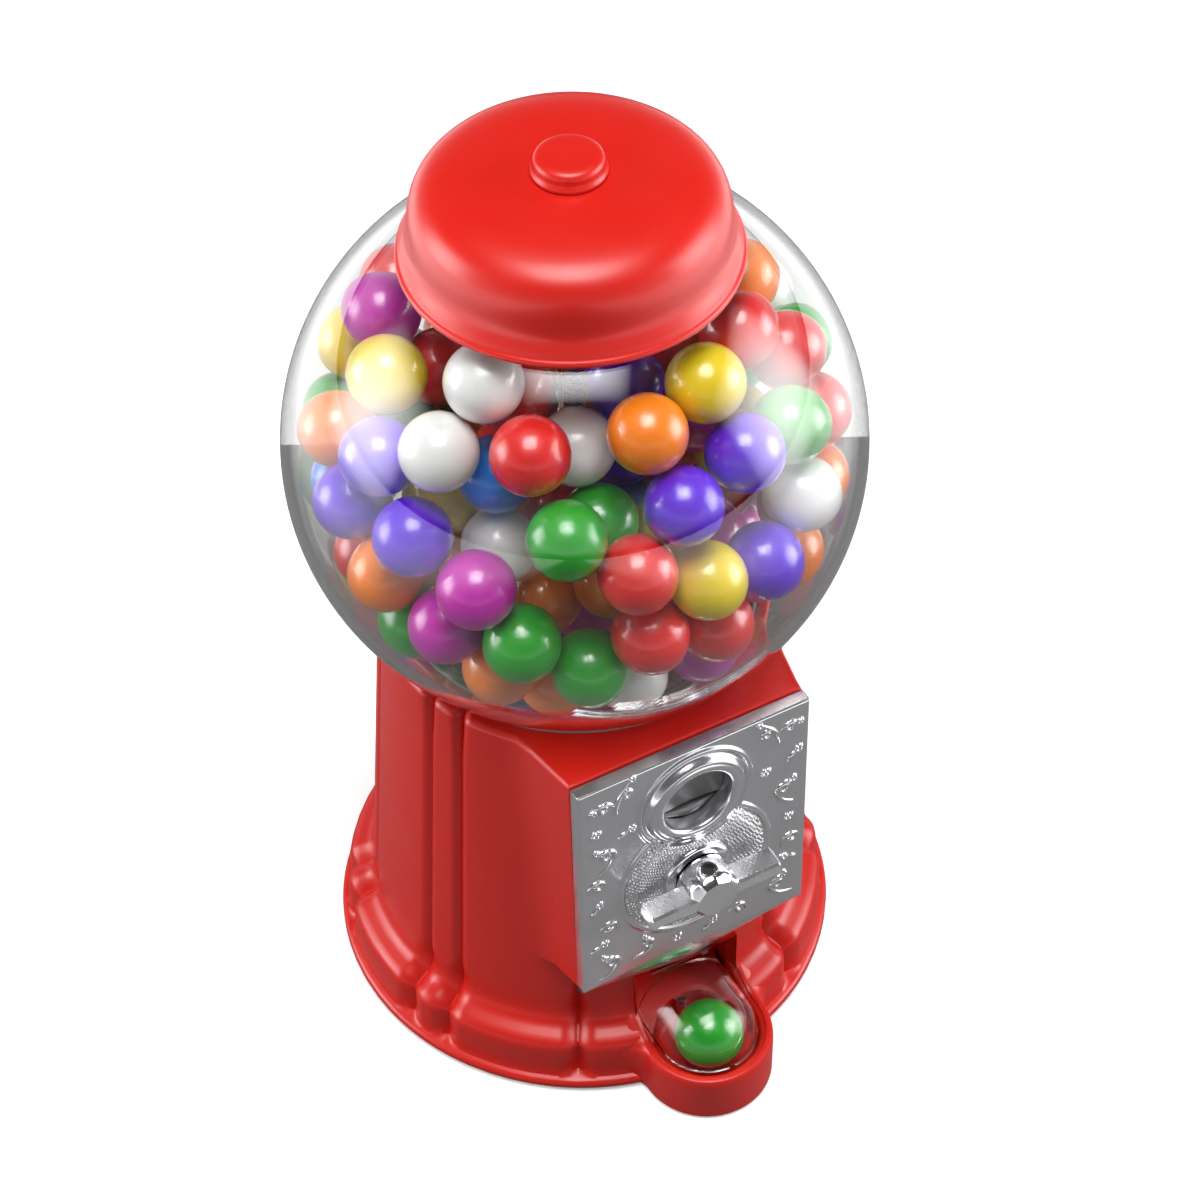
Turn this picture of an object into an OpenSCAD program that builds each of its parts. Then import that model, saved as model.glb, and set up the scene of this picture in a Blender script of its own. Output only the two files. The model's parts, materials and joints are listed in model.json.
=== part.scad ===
// Table-top gumball machine: a glass globe of gumballs clamped between a
// cast body and a domed lid, with a turn-handle coin mechanism in the front.
// Millimetres. Origin at the centre of the resting face, front towards -Y.

/* [Globe] */
// Outer radius of the glass globe
globe_r = 62; // [60:0.5:64]
// Thickness of the glass
globe_wall = 2; // [1.5:0.1:2.2]
// Height of the globe's centre above the table
globe_z = 153.6; // [153:0.1:155]
// Height of the globe's lower half, if it had no opening
globe_drop = 60.2; // [60:0.1:60.8]
// Radius of the opening at the bottom of the globe
globe_mouth_r = 37; // [35:0.5:37.5]
// Radius of the fill opening under the lid
fill_mouth_r = 29; // [25:0.5:30]

/* [Gumballs] */
// Radius of one gumball
ball_r = 8.1; // [7.8:0.1:8.2]
// Height that the gumballs are filled to
fill_z = 195; // [150:1:195]

/* [Body] */
// Radius of the base flange
flange_r = 59.4; // [58:0.1:62]
// Radius of the scalloped step above the flange
step_r = 57.5; // [56:0.1:58]
// Height of the flat wall of the step
step_top = 13.2; // [12:0.1:15]
// Radius of the column where it leaves the step
column_foot_r = 52; // [51:0.1:53]
// Radius of the column at its top
neck_r = 44.8; // [44.6:0.1:45.5]
// Height of the body's top face
top_z = 107.2; // [107:0.1:107.6]
// Radius of the collar bore that the globe sits in
collar_r = 41.2; // [41:0.1:41.3]
// Wall thickness of the casting
wall = 2.6; // [2:0.1:3]

/* [Coin front] */
// Half the width of the front plate
plate_hw = 28.6; // [28:0.1:30]
// Height of the handle shaft where it leaves the plate
hub_z = 66.8; // [65:0.1:68]
// Distance from the machine's axis to the plate's face at the shaft
plate_y = 52.1; // [51.5:0.1:53]
// Backward lean of the front plate in degrees
plate_lean = 1.1; // [0:0.1:2]
// Thickness of the front plate
plate_t = 3.2; // [2.5:0.1:3.2]
// Height of the coin opening above the shaft
coin_up = 23.8; // [23:0.1:25]
// Radius of the coin opening
coin_r = 8.4; // [7.5:0.1:8.8]
// Radius of the handle shaft
shaft_r = 3; // [2.5:0.1:3.2]
// Reach of each wing of the handle
wing_reach = 17; // [14:0.5:18]

/* [Dispensing wheel] */
// Radius of the dispensing wheel
wheel_r = 40; // [39:0.1:40.5]
// Height of the wheel's underside
wheel_z = 79; // [78.5:0.1:79.5]
// Thickness of the wheel
wheel_t = 15; // [14:0.1:15]
// Distance of the ball pockets from the axis
pocket_orbit = 19.5; // [19:0.1:19.8]
// Radius of a ball pocket
pocket_r = 8.8; // [8.5:0.1:9]
// Radius of the circle of drive pegs
peg_orbit = 36; // [35.5:0.1:36.5]
// Number of teeth on the drive gear
gear_teeth = 6; // [6]

/* [Tray] */
// Distance from the machine's axis to the centre of the tray cup
cup_y = 59; // [58:0.1:60]
// Outer radius of the tray cup
cup_r = 15.6; // [15:0.1:17]
// Radius of the pocket that holds the gumball
cup_bore_r = 12.4; // [11.5:0.1:13]
// Height of the cup's rim
cup_rim_z = 14; // [13:0.1:15]
// Height of the cup's floor
cup_floor_z = 5.2; // [4.5:0.1:6]

/* [Lid] */
// Outer radius of the lid's rolled rim
lid_r = 35.1; // [34:0.1:36]
// Height of the underside of the lid's rim
lid_z = 206; // [205.8:0.1:207]
// Height of the dome's top above the rim's underside
lid_h = 20.3; // [19:0.1:21]
// Radius of the knob's top
knob_r = 7.1; // [6.5:0.1:8]

/* [Hidden] */
$fn = 96;

// Small gaps and overlaps
fit = 0.05;        // radial running clearance
cut = 1;           // how far a cut runs past a face

// Base
flange_z = 0.8;
flange_t = 2.4;
cover_z = 1.6;
cover_t = 2;
cover_r = step_r - wall - 1;
hat_r = 13;
hat_z = 7;
door_y = 30;
door_r = 11;
boss_orbit = 47;
boss_angles = [35, 145, 270];
screw_r = 1.5;
pad_angles = [45, 135, 225, 315];
pad_orbit = 42;
rod_r = 2.4;

// Heights inside the body
wheel_top = wheel_z + wheel_t;
floor_z = wheel_z - 0.4;
floor_t = 2;
floor_r = 30.5;
ledge_z = 98;
ledge_r = 38.6;
shelf_z = wheel_top + 2.2;
guard_t = 1.2;
rivet_r = 1;
tray_fillet_r = 6;
throat_hw = 12.6;
throat_top = 27;

// Column grooves run in eight pairs
pair_first = 22.5;
pair_step = 45;
pair_half = 4.2;
groove_angles = [
    for (k = [0 : 7], side = [-1, 1]) pair_first + k * pair_step + side * pair_half
];
groove_depth = 1.3;

// Outside of the column as [radius, height], from the step up to the top edge
column_line = [[column_foot_r - 1.2, 22], [49.2, 42], [46.4, 81], [neck_r, top_z - 2.4]];

// Depths along the shaft, measured inward from the plate's face
bush_flange_t = 1.4;
hub_front = -10.6;
coin_wheel_s = 4.3;
coin_wheel_t = 1.6;
coin_wheel_r = 22;
ratchet_s = 7;
ratchet_t = 1.8;
ratchet_teeth = 12;
ratchet_tip = 12;
ratchet_root = 10.2;
back_s = 9.4;
back_t = 2;
gear_w = 7;
gear_mid = plate_y - peg_orbit;
gear_s = gear_mid - gear_w / 2;
shaft_end = gear_s + gear_w + 1.6;
gear_pitch_r = 9;
gear_tip_r = 10.9;
gear_root_r = 5;
peg_r = 1.6;
peg_len = 4.9;
peg_count = gear_teeth * 4;

// Front plate outline, as heights about the shaft
plate_top_w = 39.4;
plate_bot_w = -27.6;
apron_w = -35.6;
window_hw = 23.6;
window_top = 34;
window_bot = -25;
ring_r = 12.9;
ring_h = 2.2;
emboss_r = 19.6;
emboss_h = 1;

// Screws of the plate and of the mechanism, in the plate's frame
plate_screw_x = 20.2;
plate_screw_w = [-22, 30.4];
mech_screw_x = 20;
mech_screw_w = 16;
mech_screw_r = 1.2;
ear_hw = 3.6;

// Pawl pivot in the plate's frame
pawl_x = 17;
pawl_w = 9;
pawl_pin_r = 1.2;

// Tray flap
flap_r = 11.6;
flap_wall = 1;
flap_z = 13.4;
hinge_y = 45;
hinge_z = 25.4;
flap_pin_r = 0.8;

// Lid
lid_wall = 1.6;
dome_r = 32.4;
knob_base_r = 7.8;
knob_h = 4.3;
knob_z = lid_z + lid_h + 0.02;

// ---------------------------------------------------------------- helpers

// Moves children into the plate's frame: x across, y inward, z up the plate
module on_plate() {
    translate([0, -plate_y, hub_z]) rotate([-plate_lean, 0, 0]) children();
}

// A round bar along the shaft's direction from depth s over a length t
module along_shaft(r, s, t, x = 0, w = 0) {
    translate([x, s, w]) rotate([-90, 0, 0]) cylinder(r = r, h = t);
}

// A tube standing on the XY plane
module tube(r_out, r_in, h) {
    difference() {
        cylinder(r = r_out, h = h);
        translate([0, 0, -cut]) cylinder(r = r_in, h = h + 2 * cut);
    }
}

// A pan-head screw pointing up, with the underside of its head at z = 0
module screw_up(r, len) {
    cylinder(r = r, h = len);
    translate([0, 0, -1.6]) difference() {
        cylinder(r = 2 * r, h = 1.6);
        translate([-2 * r, -0.3, -cut]) cube([4 * r, 0.6, cut + 0.6]);
    }
}

// ---------------------------------------------------------------- body

// Half section of the casting's outside, from the axis out
module body_outline() {
    polygon([
        [0, flange_z], [flange_r, flange_z], [flange_r, flange_z + flange_t],
        [step_r, flange_z + flange_t], [step_r, step_top],
        [step_r - 1.2, step_top + 1.8], [column_foot_r + 0.4, 17],
        column_line[0], column_line[1], column_line[2], column_line[3],
        [neck_r - 0.4, top_z - 1.2], [neck_r - 1.2, top_z - 0.4],
        [neck_r - 2.2, top_z], [0, top_z]
    ]);
}

// Half section of the cavity that the mechanism stands in
module body_cavity() {
    polygon([
        [0, flange_z - cut], [step_r - wall, flange_z - cut],
        [step_r - wall, 13], [column_foot_r - wall - 0.6, 16],
        column_line[1] - [wall, 0], column_line[2] - [wall, 0],
        [neck_r - wall + 0.4, wheel_top + 0.4], [ledge_r, ledge_z - 1.6],
        [ledge_r, ledge_z], [collar_r, ledge_z],
        [collar_r, top_z + cut], [0, top_z + cut]
    ]);
}

// Plan of the raised front, tapering from the column to the plate
module block_plan() {
    polygon([
        [-34.5, -18], [-31.8, -32], [-plate_hw, -48.4], [-plate_hw, -60],
        [plate_hw, -60], [plate_hw, -48.4], [31.8, -32], [34.5, -18]
    ]);
}

// The raised front that carries the coin mechanism
module front_block() {
    top_w = plate_top_w - 1;
    intersection() {
        union() {
            translate([0, 0, 31]) linear_extrude(75)
                block_plan();
            // Top face, sloping slightly to the plate's upper edge
            hull() {
                translate([0, 0, 104]) linear_extrude(1) block_plan();
                translate([-30, -31, top_z - 1]) cube([60, 5, 1]);
                on_plate() translate([-plate_hw, plate_t, top_w - 1])
                    cube([2 * plate_hw, 2, 1]);
            }
        }
        on_plate() translate([-60, plate_t, -60]) cube([120, 80, 120]);
        // The underside slopes back to the column
        translate([0, -plate_y, 38.6]) rotate([-32, 0, 0])
            translate([-60, -60, 0]) cube([120, 160, 120]);
    }
}

// The cup and throat that the gumball rolls out into
module tray_outside() {
    translate([0, -cup_y, flange_z])
        cylinder(r = cup_r, h = cup_rim_z - flange_z);
    translate([-cup_r, -cup_y, flange_z])
        cube([2 * cup_r, cup_y - 44, cup_rim_z - flange_z]);
    // Cheeks beside the throat, rising to the column
    translate([-cup_r, -50, flange_z]) cube([2 * cup_r, 8, 22]);
    for (side = [-1, 1]) tray_fillet(side);
}

// Concave fillet that blends the cup's side into the wall of the step
module tray_fillet(side) {
    far = step_r + tray_fillet_r;
    near = cup_r + tray_fillet_r;
    fy = (far * far + cup_y * cup_y - near * near) / (2 * cup_y);
    fx = side * sqrt(far * far - fy * fy);
    difference() {
        translate([0, 0, flange_z]) linear_extrude(cup_rim_z - flange_z) polygon([
            [0, -50], [fx * step_r / far, -fy * step_r / far], [fx, -fy],
            [fx * cup_r / near, -cup_y - (fy - cup_y) * cup_r / near]
        ]);
        translate([fx, -fy, 0]) cylinder(r = tray_fillet_r, h = 30);
    }
}

module tray_cavity() {
    translate([0, -cup_y, cup_floor_z]) cylinder(r = cup_bore_r, h = 60);
    // Sloping floor of the throat
    translate([-throat_hw + 0.4, -cup_y + 4, 8.6]) rotate([24, 0, 0])
        cube([2 * throat_hw - 0.8, 30, 12]);
    // Arched opening for the flap
    translate([0, -cup_y, flap_z]) rotate([-90, 0, 0]) intersection() {
        cylinder(r = throat_hw, h = cup_y - 38);
        translate([-20, -20, 0]) cube([40, 20, 40]);
    }
    // Flat top of the opening, round the hinge
    translate([-throat_hw, -56, flap_z]) cube([2 * throat_hw, 20, throat_top - flap_z]);
}

module body_casting() {
    color("red") difference() {
        union() {
            difference() {
                rotate_extrude($fn = 180) body_outline();
                for (a = groove_angles) rotate([0, 0, a]) groove();
            }
            front_block();
            tray_outside();
        }
        difference() {
            union() {
                rotate_extrude($fn = 180) body_cavity();
                block_cavity();
            }
            for (a = boss_angles) rotate([0, 0, a]) screw_boss();
            flap_lugs();
        }
        tray_cavity_clear();
        for (a = boss_angles) rotate([0, 0, a])
            translate([boss_orbit, 0, -cut]) cylinder(r = screw_r, h = 14);
        on_plate() at_plate_screws()
            along_shaft(screw_r + 0.15, plate_t - cut, 10);
        flap_pin_hole();
    }
}

// One shallow valley down the column and over the step
module groove() {
    for (k = [0 : len(column_line) - 2]) valley(column_line[k], column_line[k + 1]);
    valley([neck_r, top_z - 2.6], [neck_r - 0.6, top_z]);
    valley([step_r, flange_z + flange_t + 0.4], [step_r, step_top]);
}

// A square bar on edge that follows a line from a to b, each [radius, height]
module valley(a, b) {
    run = b - a;
    side = groove_depth * sqrt(2);
    translate([0, -a[0], a[1]]) rotate([atan2(run[0], run[1]), 0, 0])
        rotate([0, 0, 45]) translate([-side / 2, -side / 2, -0.2])
            cube([side, side, norm(run) + 0.4]);
}

// Room behind the plate for the mechanism, and the window it passes through
module block_cavity() {
    room_hw = window_hw + 2;
    on_plate() {
        translate([-room_hw, plate_t + wall, window_bot]) cube([2 * room_hw, 30, 52]);
        translate([-window_hw, plate_t + wall, 0]) cube([2 * window_hw, 4.6, window_top]);
        difference() {
            translate([-window_hw, 0, window_bot])
                cube([2 * window_hw, plate_t + 2 * wall, window_top - window_bot]);
            // Ears that take the plate's screws
            for (side = [-1, 1], w = plate_screw_w)
                translate([side * plate_screw_x - ear_hw, 0, w - ear_hw])
                    cube([2 * ear_hw, plate_t + wall, 2 * ear_hw]);
        }
    }
}

module at_plate_screws() {
    for (side = [-1, 1], w = plate_screw_w)
        translate([side * plate_screw_x, 0, w]) children();
}

module at_mech_screws() {
    for (x = [-1, 1], w = [-1, 1])
        translate([x * mech_screw_x, 0, w * mech_screw_w]) children();
}

module screw_boss() {
    translate([boss_orbit, 0, cover_z + cover_t]) {
        cylinder(r = 4, h = 20);
        translate([0, -2, 0]) cube([14, 4, 20]);
    }
}

// Two lugs above the throat that hold the flap's pin
module flap_lugs() {
    for (side = [-1, 1])
        translate([side * 9.6 - 1.2, -hinge_y - 2.6, hinge_z - 2.2]) cube([2.4, 4.8, 8]);
}

// The tray's cavity, less the lugs that stand in it
module tray_cavity_clear() {
    difference() {
        tray_cavity();
        flap_lugs();
    }
}

module flap_pin_hole() {
    translate([-11, -hinge_y, hinge_z]) rotate([0, 90, 0])
        cylinder(r = flap_pin_r, h = 22);
}

// ---------------------------------------------------------------- base

module base_cover() {
    color("dimgray") difference() {
        union() {
            translate([0, 0, cover_z]) cylinder(r = cover_r, h = cover_t);
            translate([0, 0, cover_z]) cylinder(r = hat_r + 2, h = hat_z + 2 - cover_z);
        }
        translate([0, 0, cover_z - cut]) cylinder(r = hat_r, h = hat_z - cover_z + cut);
        cylinder(r = rod_r + 0.2, h = 20);
        translate([0, door_y, 0]) cylinder(r = door_r, h = 20);
        // Slots that let the door's tabs through
        translate([-2.5, door_y - door_r - 2.4, 0]) cube([5, 2 * door_r + 4.8, 20]);
        for (a = boss_angles) rotate([0, 0, a])
            translate([boss_orbit, 0, 0]) cylinder(r = screw_r + 0.15, h = 20);
        for (a = pad_angles) rotate([0, 0, a])
            translate([pad_orbit, 0, cover_z - cut]) cylinder(r = 2.5, h = cover_t / 2 + cut);
    }
}

module cover_screws() {
    color("silver") for (a = boss_angles) rotate([0, 0, a])
        translate([boss_orbit, 0, cover_z]) intersection() {
            screw_up(screw_r, 10);
            translate([-5, -5, -1.2]) cube([10, 10, 20]);
        }
}

module foot_pads() {
    color([0.1, 0.1, 0.1]) for (a = pad_angles) rotate([0, 0, a])
        translate([pad_orbit, 0, 0]) {
            cylinder(r1 = 5, r2 = 5.6, h = cover_z);
            cylinder(r = 2.5, h = cover_z + cover_t / 2);
        }
}

// Rubber plug that closes the recess of the rod's nut, level with the foot pads
module nut_plug() {
    plug_r = hat_r - 0.1;
    color([0.1, 0.1, 0.1]) {
        cylinder(r = plug_r, h = 1.9);
        tube(plug_r, plug_r - 2, 4);
    }
}

// Twist-lock door over the coin bank
module coin_door() {
    color("black") translate([0, door_y, 0]) {
        translate([0, 0, 0.4]) difference() {
            cylinder(r = door_r - 0.2, h = cover_z + cover_t);
            translate([-7, -0.8, -cut]) cube([14, 1.6, cut + 1]);
        }
        // Tabs above the cover, turned clear of its slots
        translate([0, 0, cover_z + cover_t + 0.2]) rotate([0, 0, 40])
            intersection() {
                cylinder(r = door_r + 2, h = 1.4);
                translate([-2.2, -20, 0]) cube([4.4, 40, 2]);
            }
    }
}

module centre_rod() {
    color("silver") translate([0, 0, 2]) cylinder(r = rod_r, h = knob_z + knob_h - 4);
}

module rod_nut() {
    color("silver") translate([0, 0, 2.4]) difference() {
        cylinder(r = 4.6, h = 3.6, $fn = 6);
        translate([0, 0, -cut]) cylinder(r = rod_r, h = 8);
    }
}

module rod_washer() {
    color("silver") translate([0, 0, 6]) tube(8, rod_r + 0.1, 1);
}

module support_tube() {
    color("gray") translate([0, 0, hat_z + 2])
        tube(6, rod_r + 0.4, floor_z - floor_t - hat_z - 2);
}

// ---------------------------------------------------------------- globe

module globe() {
    foot_a = -acos(globe_mouth_r / globe_r);
    fill_a = acos(fill_mouth_r / globe_r);
    steps = 40;
    color([0.85, 0.9, 0.92, 0.35]) rotate_extrude($fn = 180) polygon(concat(
        [for (i = [0 : steps]) globe_point(0, foot_a + (fill_a - foot_a) * i / steps)],
        [for (i = [steps : -1 : 0]) globe_point(globe_wall, foot_a + (fill_a - foot_a) * i / steps)]
    ));
}

// A point on the globe's section, inset from its outside; the lower half is flatter
function globe_point(inset, a) =
    [(globe_r - inset) * cos(a),
     globe_z + ((a < 0 ? globe_drop : globe_r) - inset) * sin(a)];

// Solid with the globe's outside, a little enlarged, for cutting its seats
module globe_seat() {
    rotate_extrude($fn = 180) polygon([for (a = [-90 : 4.5 : 90]) globe_point(-0.06, a)]);
}

module globe_gasket() {
    color("dimgray") difference() {
        translate([0, 0, ledge_z + 3]) tube(collar_r - 0.1, globe_mouth_r - 1.4, 6.4);
        globe_seat();
    }
}

// Funnel that leads the gumballs down to the wheel
module hopper_ring() {
    color("white") difference() {
        rotate_extrude() polygon([
            [29.4, wheel_top + 0.6], [34, wheel_top + 0.6],
            [ledge_r - 0.3, ledge_z - 1.4], [ledge_r - 0.3, ledge_z],
            [collar_r - 0.2, ledge_z], [collar_r - 0.2, ledge_z + 3],
            [35.6, ledge_z + 3], [34.2, shelf_z], [29.4, shelf_z]
        ]);
        at_rivets() cylinder(r = rivet_r, h = 200);
    }
}

module at_rivets() {
    for (x = [-6.5, 6.5]) translate([x, -31.4, 0]) children();
}

// Cap over the pocket that stands above the chute
module ball_guard() {
    color("silver") difference() {
        translate([0, 0, shelf_z]) intersection() {
            cylinder(r = 34, h = guard_t);
            translate([-9.5, -40, 0]) cube([19, 31, 10]);
        }
        at_rivets() cylinder(r = rivet_r, h = 200);
    }
}

module guard_rivets() {
    color("silver") at_rivets() {
        translate([0, 0, wheel_top + 0.7]) cylinder(r = rivet_r, h = 3);
        translate([0, 0, shelf_z + guard_t]) cylinder(r = 1.8 * rivet_r, h = 0.7);
    }
}

// ---------------------------------------------------------------- wheel

module dispensing_wheel() {
    color("white") translate([0, 0, wheel_z]) difference() {
        cylinder(r = wheel_r, h = wheel_t);
        translate([0, 0, -cut]) cylinder(r = rod_r + fit, h = wheel_t + 2 * cut);
        for (a = [0, 90, 180, 270]) rotate([0, 0, a])
            translate([0, -pocket_orbit, -cut])
                cylinder(r = pocket_r, h = wheel_t + 2 * cut);
        // Weight-saving ring and the sockets of the pegs
        translate([0, 0, 3]) tube(38, 32, wheel_t);
        for (i = [0 : peg_count - 1]) rotate([0, 0, i * 360 / peg_count])
            translate([0, -peg_orbit, -cut]) cylinder(r = peg_r, h = 3 + cut);
    }
}

module wheel_pegs() {
    color("silver") for (i = [0 : peg_count - 1])
        rotate([0, 0, i * 360 / peg_count])
            translate([0, -peg_orbit, wheel_z - peg_len])
                cylinder(r = peg_r, h = peg_len + 3, $fn = 32);
}

module wheel_floor() {
    color("gray") translate([0, 0, floor_z - floor_t]) difference() {
        cylinder(r = floor_r, h = floor_t);
        translate([0, 0, -cut]) cylinder(r = rod_r + 0.4, h = 9);
        translate([0, -pocket_orbit, -cut]) cylinder(r = pocket_r, h = 9);
    }
}

module ball_chute() {
    drop_z = 40;
    color("white") difference() {
        union() {
            translate([0, -pocket_orbit, drop_z]) cylinder(
                r = pocket_r + 1.4, h = floor_z - floor_t - drop_z);
            intersection() {
                translate([-11, -41, 8]) cube([22, 33, 40]);
                translate([-11, -43, 10]) rotate([38, 0, 0]) cube([22, 50, 34]);
            }
        }
        translate([0, -pocket_orbit, 34]) cylinder(r = pocket_r, h = 60);
        intersection() {
            translate([-9.4, -50, 8]) cube([18.8, 40, 39]);
            translate([-9.4, -43, 12.4]) rotate([38, 0, 0]) cube([18.8, 50, 34]);
        }
    }
}

// ---------------------------------------------------------------- front

// Outline of the plate with its bottom apron, in plate heights
module plate_outline() {
    polygon([
        [-plate_hw, plate_bot_w], [plate_hw, plate_bot_w],
        [plate_hw, plate_top_w], [-plate_hw, plate_top_w]
    ]);
}

module front_plate() {
    apron_arc = 58;
    color([0.55, 0.55, 0.58]) on_plate() difference() {
        union() {
            translate([0, plate_t, 0]) rotate([90, 0, 0])
                linear_extrude(plate_t - 0.8) plate_outline();
            translate([0, 0.8, 0]) rotate([90, 0, 0])
                linear_extrude(0.8) intersection() {
                    plate_outline();
                    translate([-plate_hw + 0.8, plate_bot_w])
                        square([2 * plate_hw - 1.6, plate_top_w - plate_bot_w - 0.8]);
                }
            along_shaft(ring_r, -ring_h, ring_h + 1, 0, coin_up);
            along_shaft(emboss_r, -emboss_h, emboss_h + 1);
            // Apron with a bowed lower edge
            intersection() {
                translate([-plate_hw, plate_t - 1.6, apron_w]) cube([2 * plate_hw, 1.6, 9]);
                along_shaft(apron_arc, 0, 9, 0, apron_w + apron_arc);
            }
        }
        along_shaft(coin_r, -5, 20, 0, coin_up);
        along_shaft(coin_r + 1.2, 2.2, 9, 0, coin_up);
        along_shaft(5, -5, 20);
        at_plate_screws() along_shaft(screw_r, 1.4, 9);
        at_mech_screws() along_shaft(mech_screw_r, 1.4, 9);
    }
}

module plate_screws() {
    color("silver") on_plate() at_plate_screws()
        translate([0, plate_t + wall, 0]) rotate([90, 0, 0]) screw_up(screw_r, 4.2);
}

// Dished stop behind the coin opening, with a slit that the coin drops through
module coin_cup() {
    color([0.35, 0.35, 0.37]) on_plate() difference() {
        along_shaft(coin_r + 1.1, 2.3, 1.6, 0, coin_up);
        along_shaft(coin_r - 1, 1, 2, 0, coin_up);
        translate([-coin_r + 0.8, 0, coin_up - 4.4]) cube([2 * coin_r - 1.6, 9, 2.2]);
    }
}

module shaft_bushing() {
    color("silver") on_plate() difference() {
        union() {
            along_shaft(8.4, -emboss_h - bush_flange_t, bush_flange_t);
            along_shaft(5, -emboss_h, plate_t + emboss_h + 0.6);
        }
        along_shaft(shaft_r + fit, -9, 30);
    }
}

module handle() {
    hub_t = -hub_front - emboss_h - bush_flange_t - 0.3;
    color("silver") on_plate() difference() {
        union() {
            along_shaft(6.2, hub_front, hub_t);
            for (side = [-1, 1]) wing(side);
        }
        along_shaft(shaft_r, hub_front + 1.8, 30);
        translate([0, -6.4, -9]) cylinder(r = 1.2, h = 18);
        translate([0, -6.4, 4.4]) cylinder(r = 1.9, h = 9);
    }
}

// One grip wing, bevelled along its long edges
module wing(side) {
    wing_t = 3.8;
    inner = 4;
    translate([side > 0 ? inner : -wing_reach, -10.2, 0]) rotate([0, 90, 0])
        linear_extrude(wing_reach - inner) polygon([
            [-wing_t / 2 + 0.7, 0], [wing_t / 2 - 0.7, 0], [wing_t / 2, 0.7],
            [wing_t / 2, 6], [-wing_t / 2, 6], [-wing_t / 2, 0.7]
        ]);
}

module handle_pin() {
    color("gray") on_plate() translate([0, -6.4, -4.6]) cylinder(r = 1.2, h = 9);
}

module handle_shaft() {
    color("gray") on_plate() difference() {
        along_shaft(shaft_r, hub_front + 1.8, shaft_end - hub_front - 1.8);
        translate([0, -6.4, -9]) cylinder(r = 1.2, h = 18);
    }
}

module coin_wheel() {
    color("gray") on_plate() difference() {
        along_shaft(coin_wheel_r, coin_wheel_s, coin_wheel_t);
        along_shaft(shaft_r, 0, 20);
        along_shaft(coin_r + 1.3, 0, 20, 0, coin_up);
        for (a = [60 : 60 : 300])
            along_shaft(3.2, 0, 20, 15 * sin(a), 15 * cos(a));
    }
}

module ratchet_wheel() {
    step = 360 / ratchet_teeth;
    color("gray") on_plate() difference() {
        translate([0, ratchet_s + ratchet_t, 0]) rotate([90, 0, 0])
            linear_extrude(ratchet_t) polygon([
                for (i = [0 : ratchet_teeth - 1], k = [0, 1])
                    let (r = k == 0 ? ratchet_tip : ratchet_root, a = i * step + k)
                        [r * cos(a), r * sin(a)]
            ]);
        along_shaft(shaft_r, 0, 20);
    }
}

module drive_gear() {
    tip_w = 2;
    root_w = 3.2;
    color([0.85, 0.75, 0.45]) on_plate() difference() {
        union() {
            along_shaft(gear_root_r + 0.6, gear_s, gear_w);
            for (i = [0 : gear_teeth - 1])
                translate([0, gear_s + gear_w, 0])
                    rotate([90, (i + 0.5) * 360 / gear_teeth, 0])
                        linear_extrude(gear_w) polygon([
                            [-root_w / 2, gear_root_r], [root_w / 2, gear_root_r],
                            [root_w / 2, gear_pitch_r - 1], [tip_w / 2, gear_tip_r],
                            [-tip_w / 2, gear_tip_r], [-root_w / 2, gear_pitch_r - 1]
                        ]);
        }
        along_shaft(shaft_r, 0, 40);
    }
}

module shaft_clip() {
    color("silver") on_plate() difference() {
        along_shaft(shaft_r + 1.6, gear_s + gear_w + 0.1, 0.8);
        along_shaft(shaft_r, 0, 40);
        translate([-1.6, 0, -9]) cube([3.2, 40, 9 - shaft_r + 0.6]);
    }
}

module back_plate() {
    color([0.6, 0.6, 0.62]) on_plate() difference() {
        translate([-23, back_s, -24.4]) cube([46, back_t, 44.4]);
        along_shaft(4.6, 0, 40);
        at_mech_screws() along_shaft(mech_screw_r + 0.15, 0, 40);
        along_shaft(pawl_pin_r, 0, 40, pawl_x, pawl_w);
    }
}

module back_bushing() {
    color([0.8, 0.6, 0.3]) on_plate() difference() {
        union() {
            along_shaft(4.6, back_s, back_t);
            along_shaft(6, back_s + back_t, 0.6);
        }
        along_shaft(shaft_r + fit, 0, 40);
    }
}

module mech_spacers() {
    color("silver") on_plate() at_mech_screws() difference() {
        along_shaft(2 * mech_screw_r, plate_t, back_s - plate_t);
        along_shaft(mech_screw_r, 0, 40);
    }
}

module mech_screws() {
    color("silver") on_plate() at_mech_screws()
        translate([0, back_s + back_t, 0]) rotate([90, 0, 0])
            screw_up(mech_screw_r, back_s + back_t - 1.6);
}

// Pawl that stops the ratchet wheel turning back
module pawl() {
    reach = 10;
    tip_a = 65;
    color("gray") on_plate() translate([pawl_x, 0, pawl_w]) difference() {
        union() {
            along_shaft(2.8, ratchet_s, ratchet_t);
            translate([0, ratchet_s + ratchet_t, 0]) rotate([90, 0, 0])
                linear_extrude(ratchet_t) mirror([0, 1]) rotate(90 - tip_a) polygon([
                    [-1.6, 0], [2.4, 0], [2.2, reach - 2.4], [-0.4, reach], [-1.2, reach - 1]
                ]);
        }
        along_shaft(pawl_pin_r + fit, 0, 30);
    }
}

module pawl_pin() {
    color("silver") on_plate() {
        along_shaft(pawl_pin_r, ratchet_s - 0.2, back_s + back_t - ratchet_s + 0.2,
            pawl_x, pawl_w);
        along_shaft(2, ratchet_s - 0.7, 0.5, pawl_x, pawl_w);
    }
}

// Leaf spring on the back plate that holds the pawl against the teeth
module pawl_spring() {
    color("silver") on_plate() {
        translate([20.6, ratchet_s, -6]) cube([0.5, back_s - ratchet_s, 9]);
        translate([19.2, ratchet_s, -6]) cube([1.9, back_s - ratchet_s, 0.6]);
    }
}

// ---------------------------------------------------------------- tray

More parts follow.
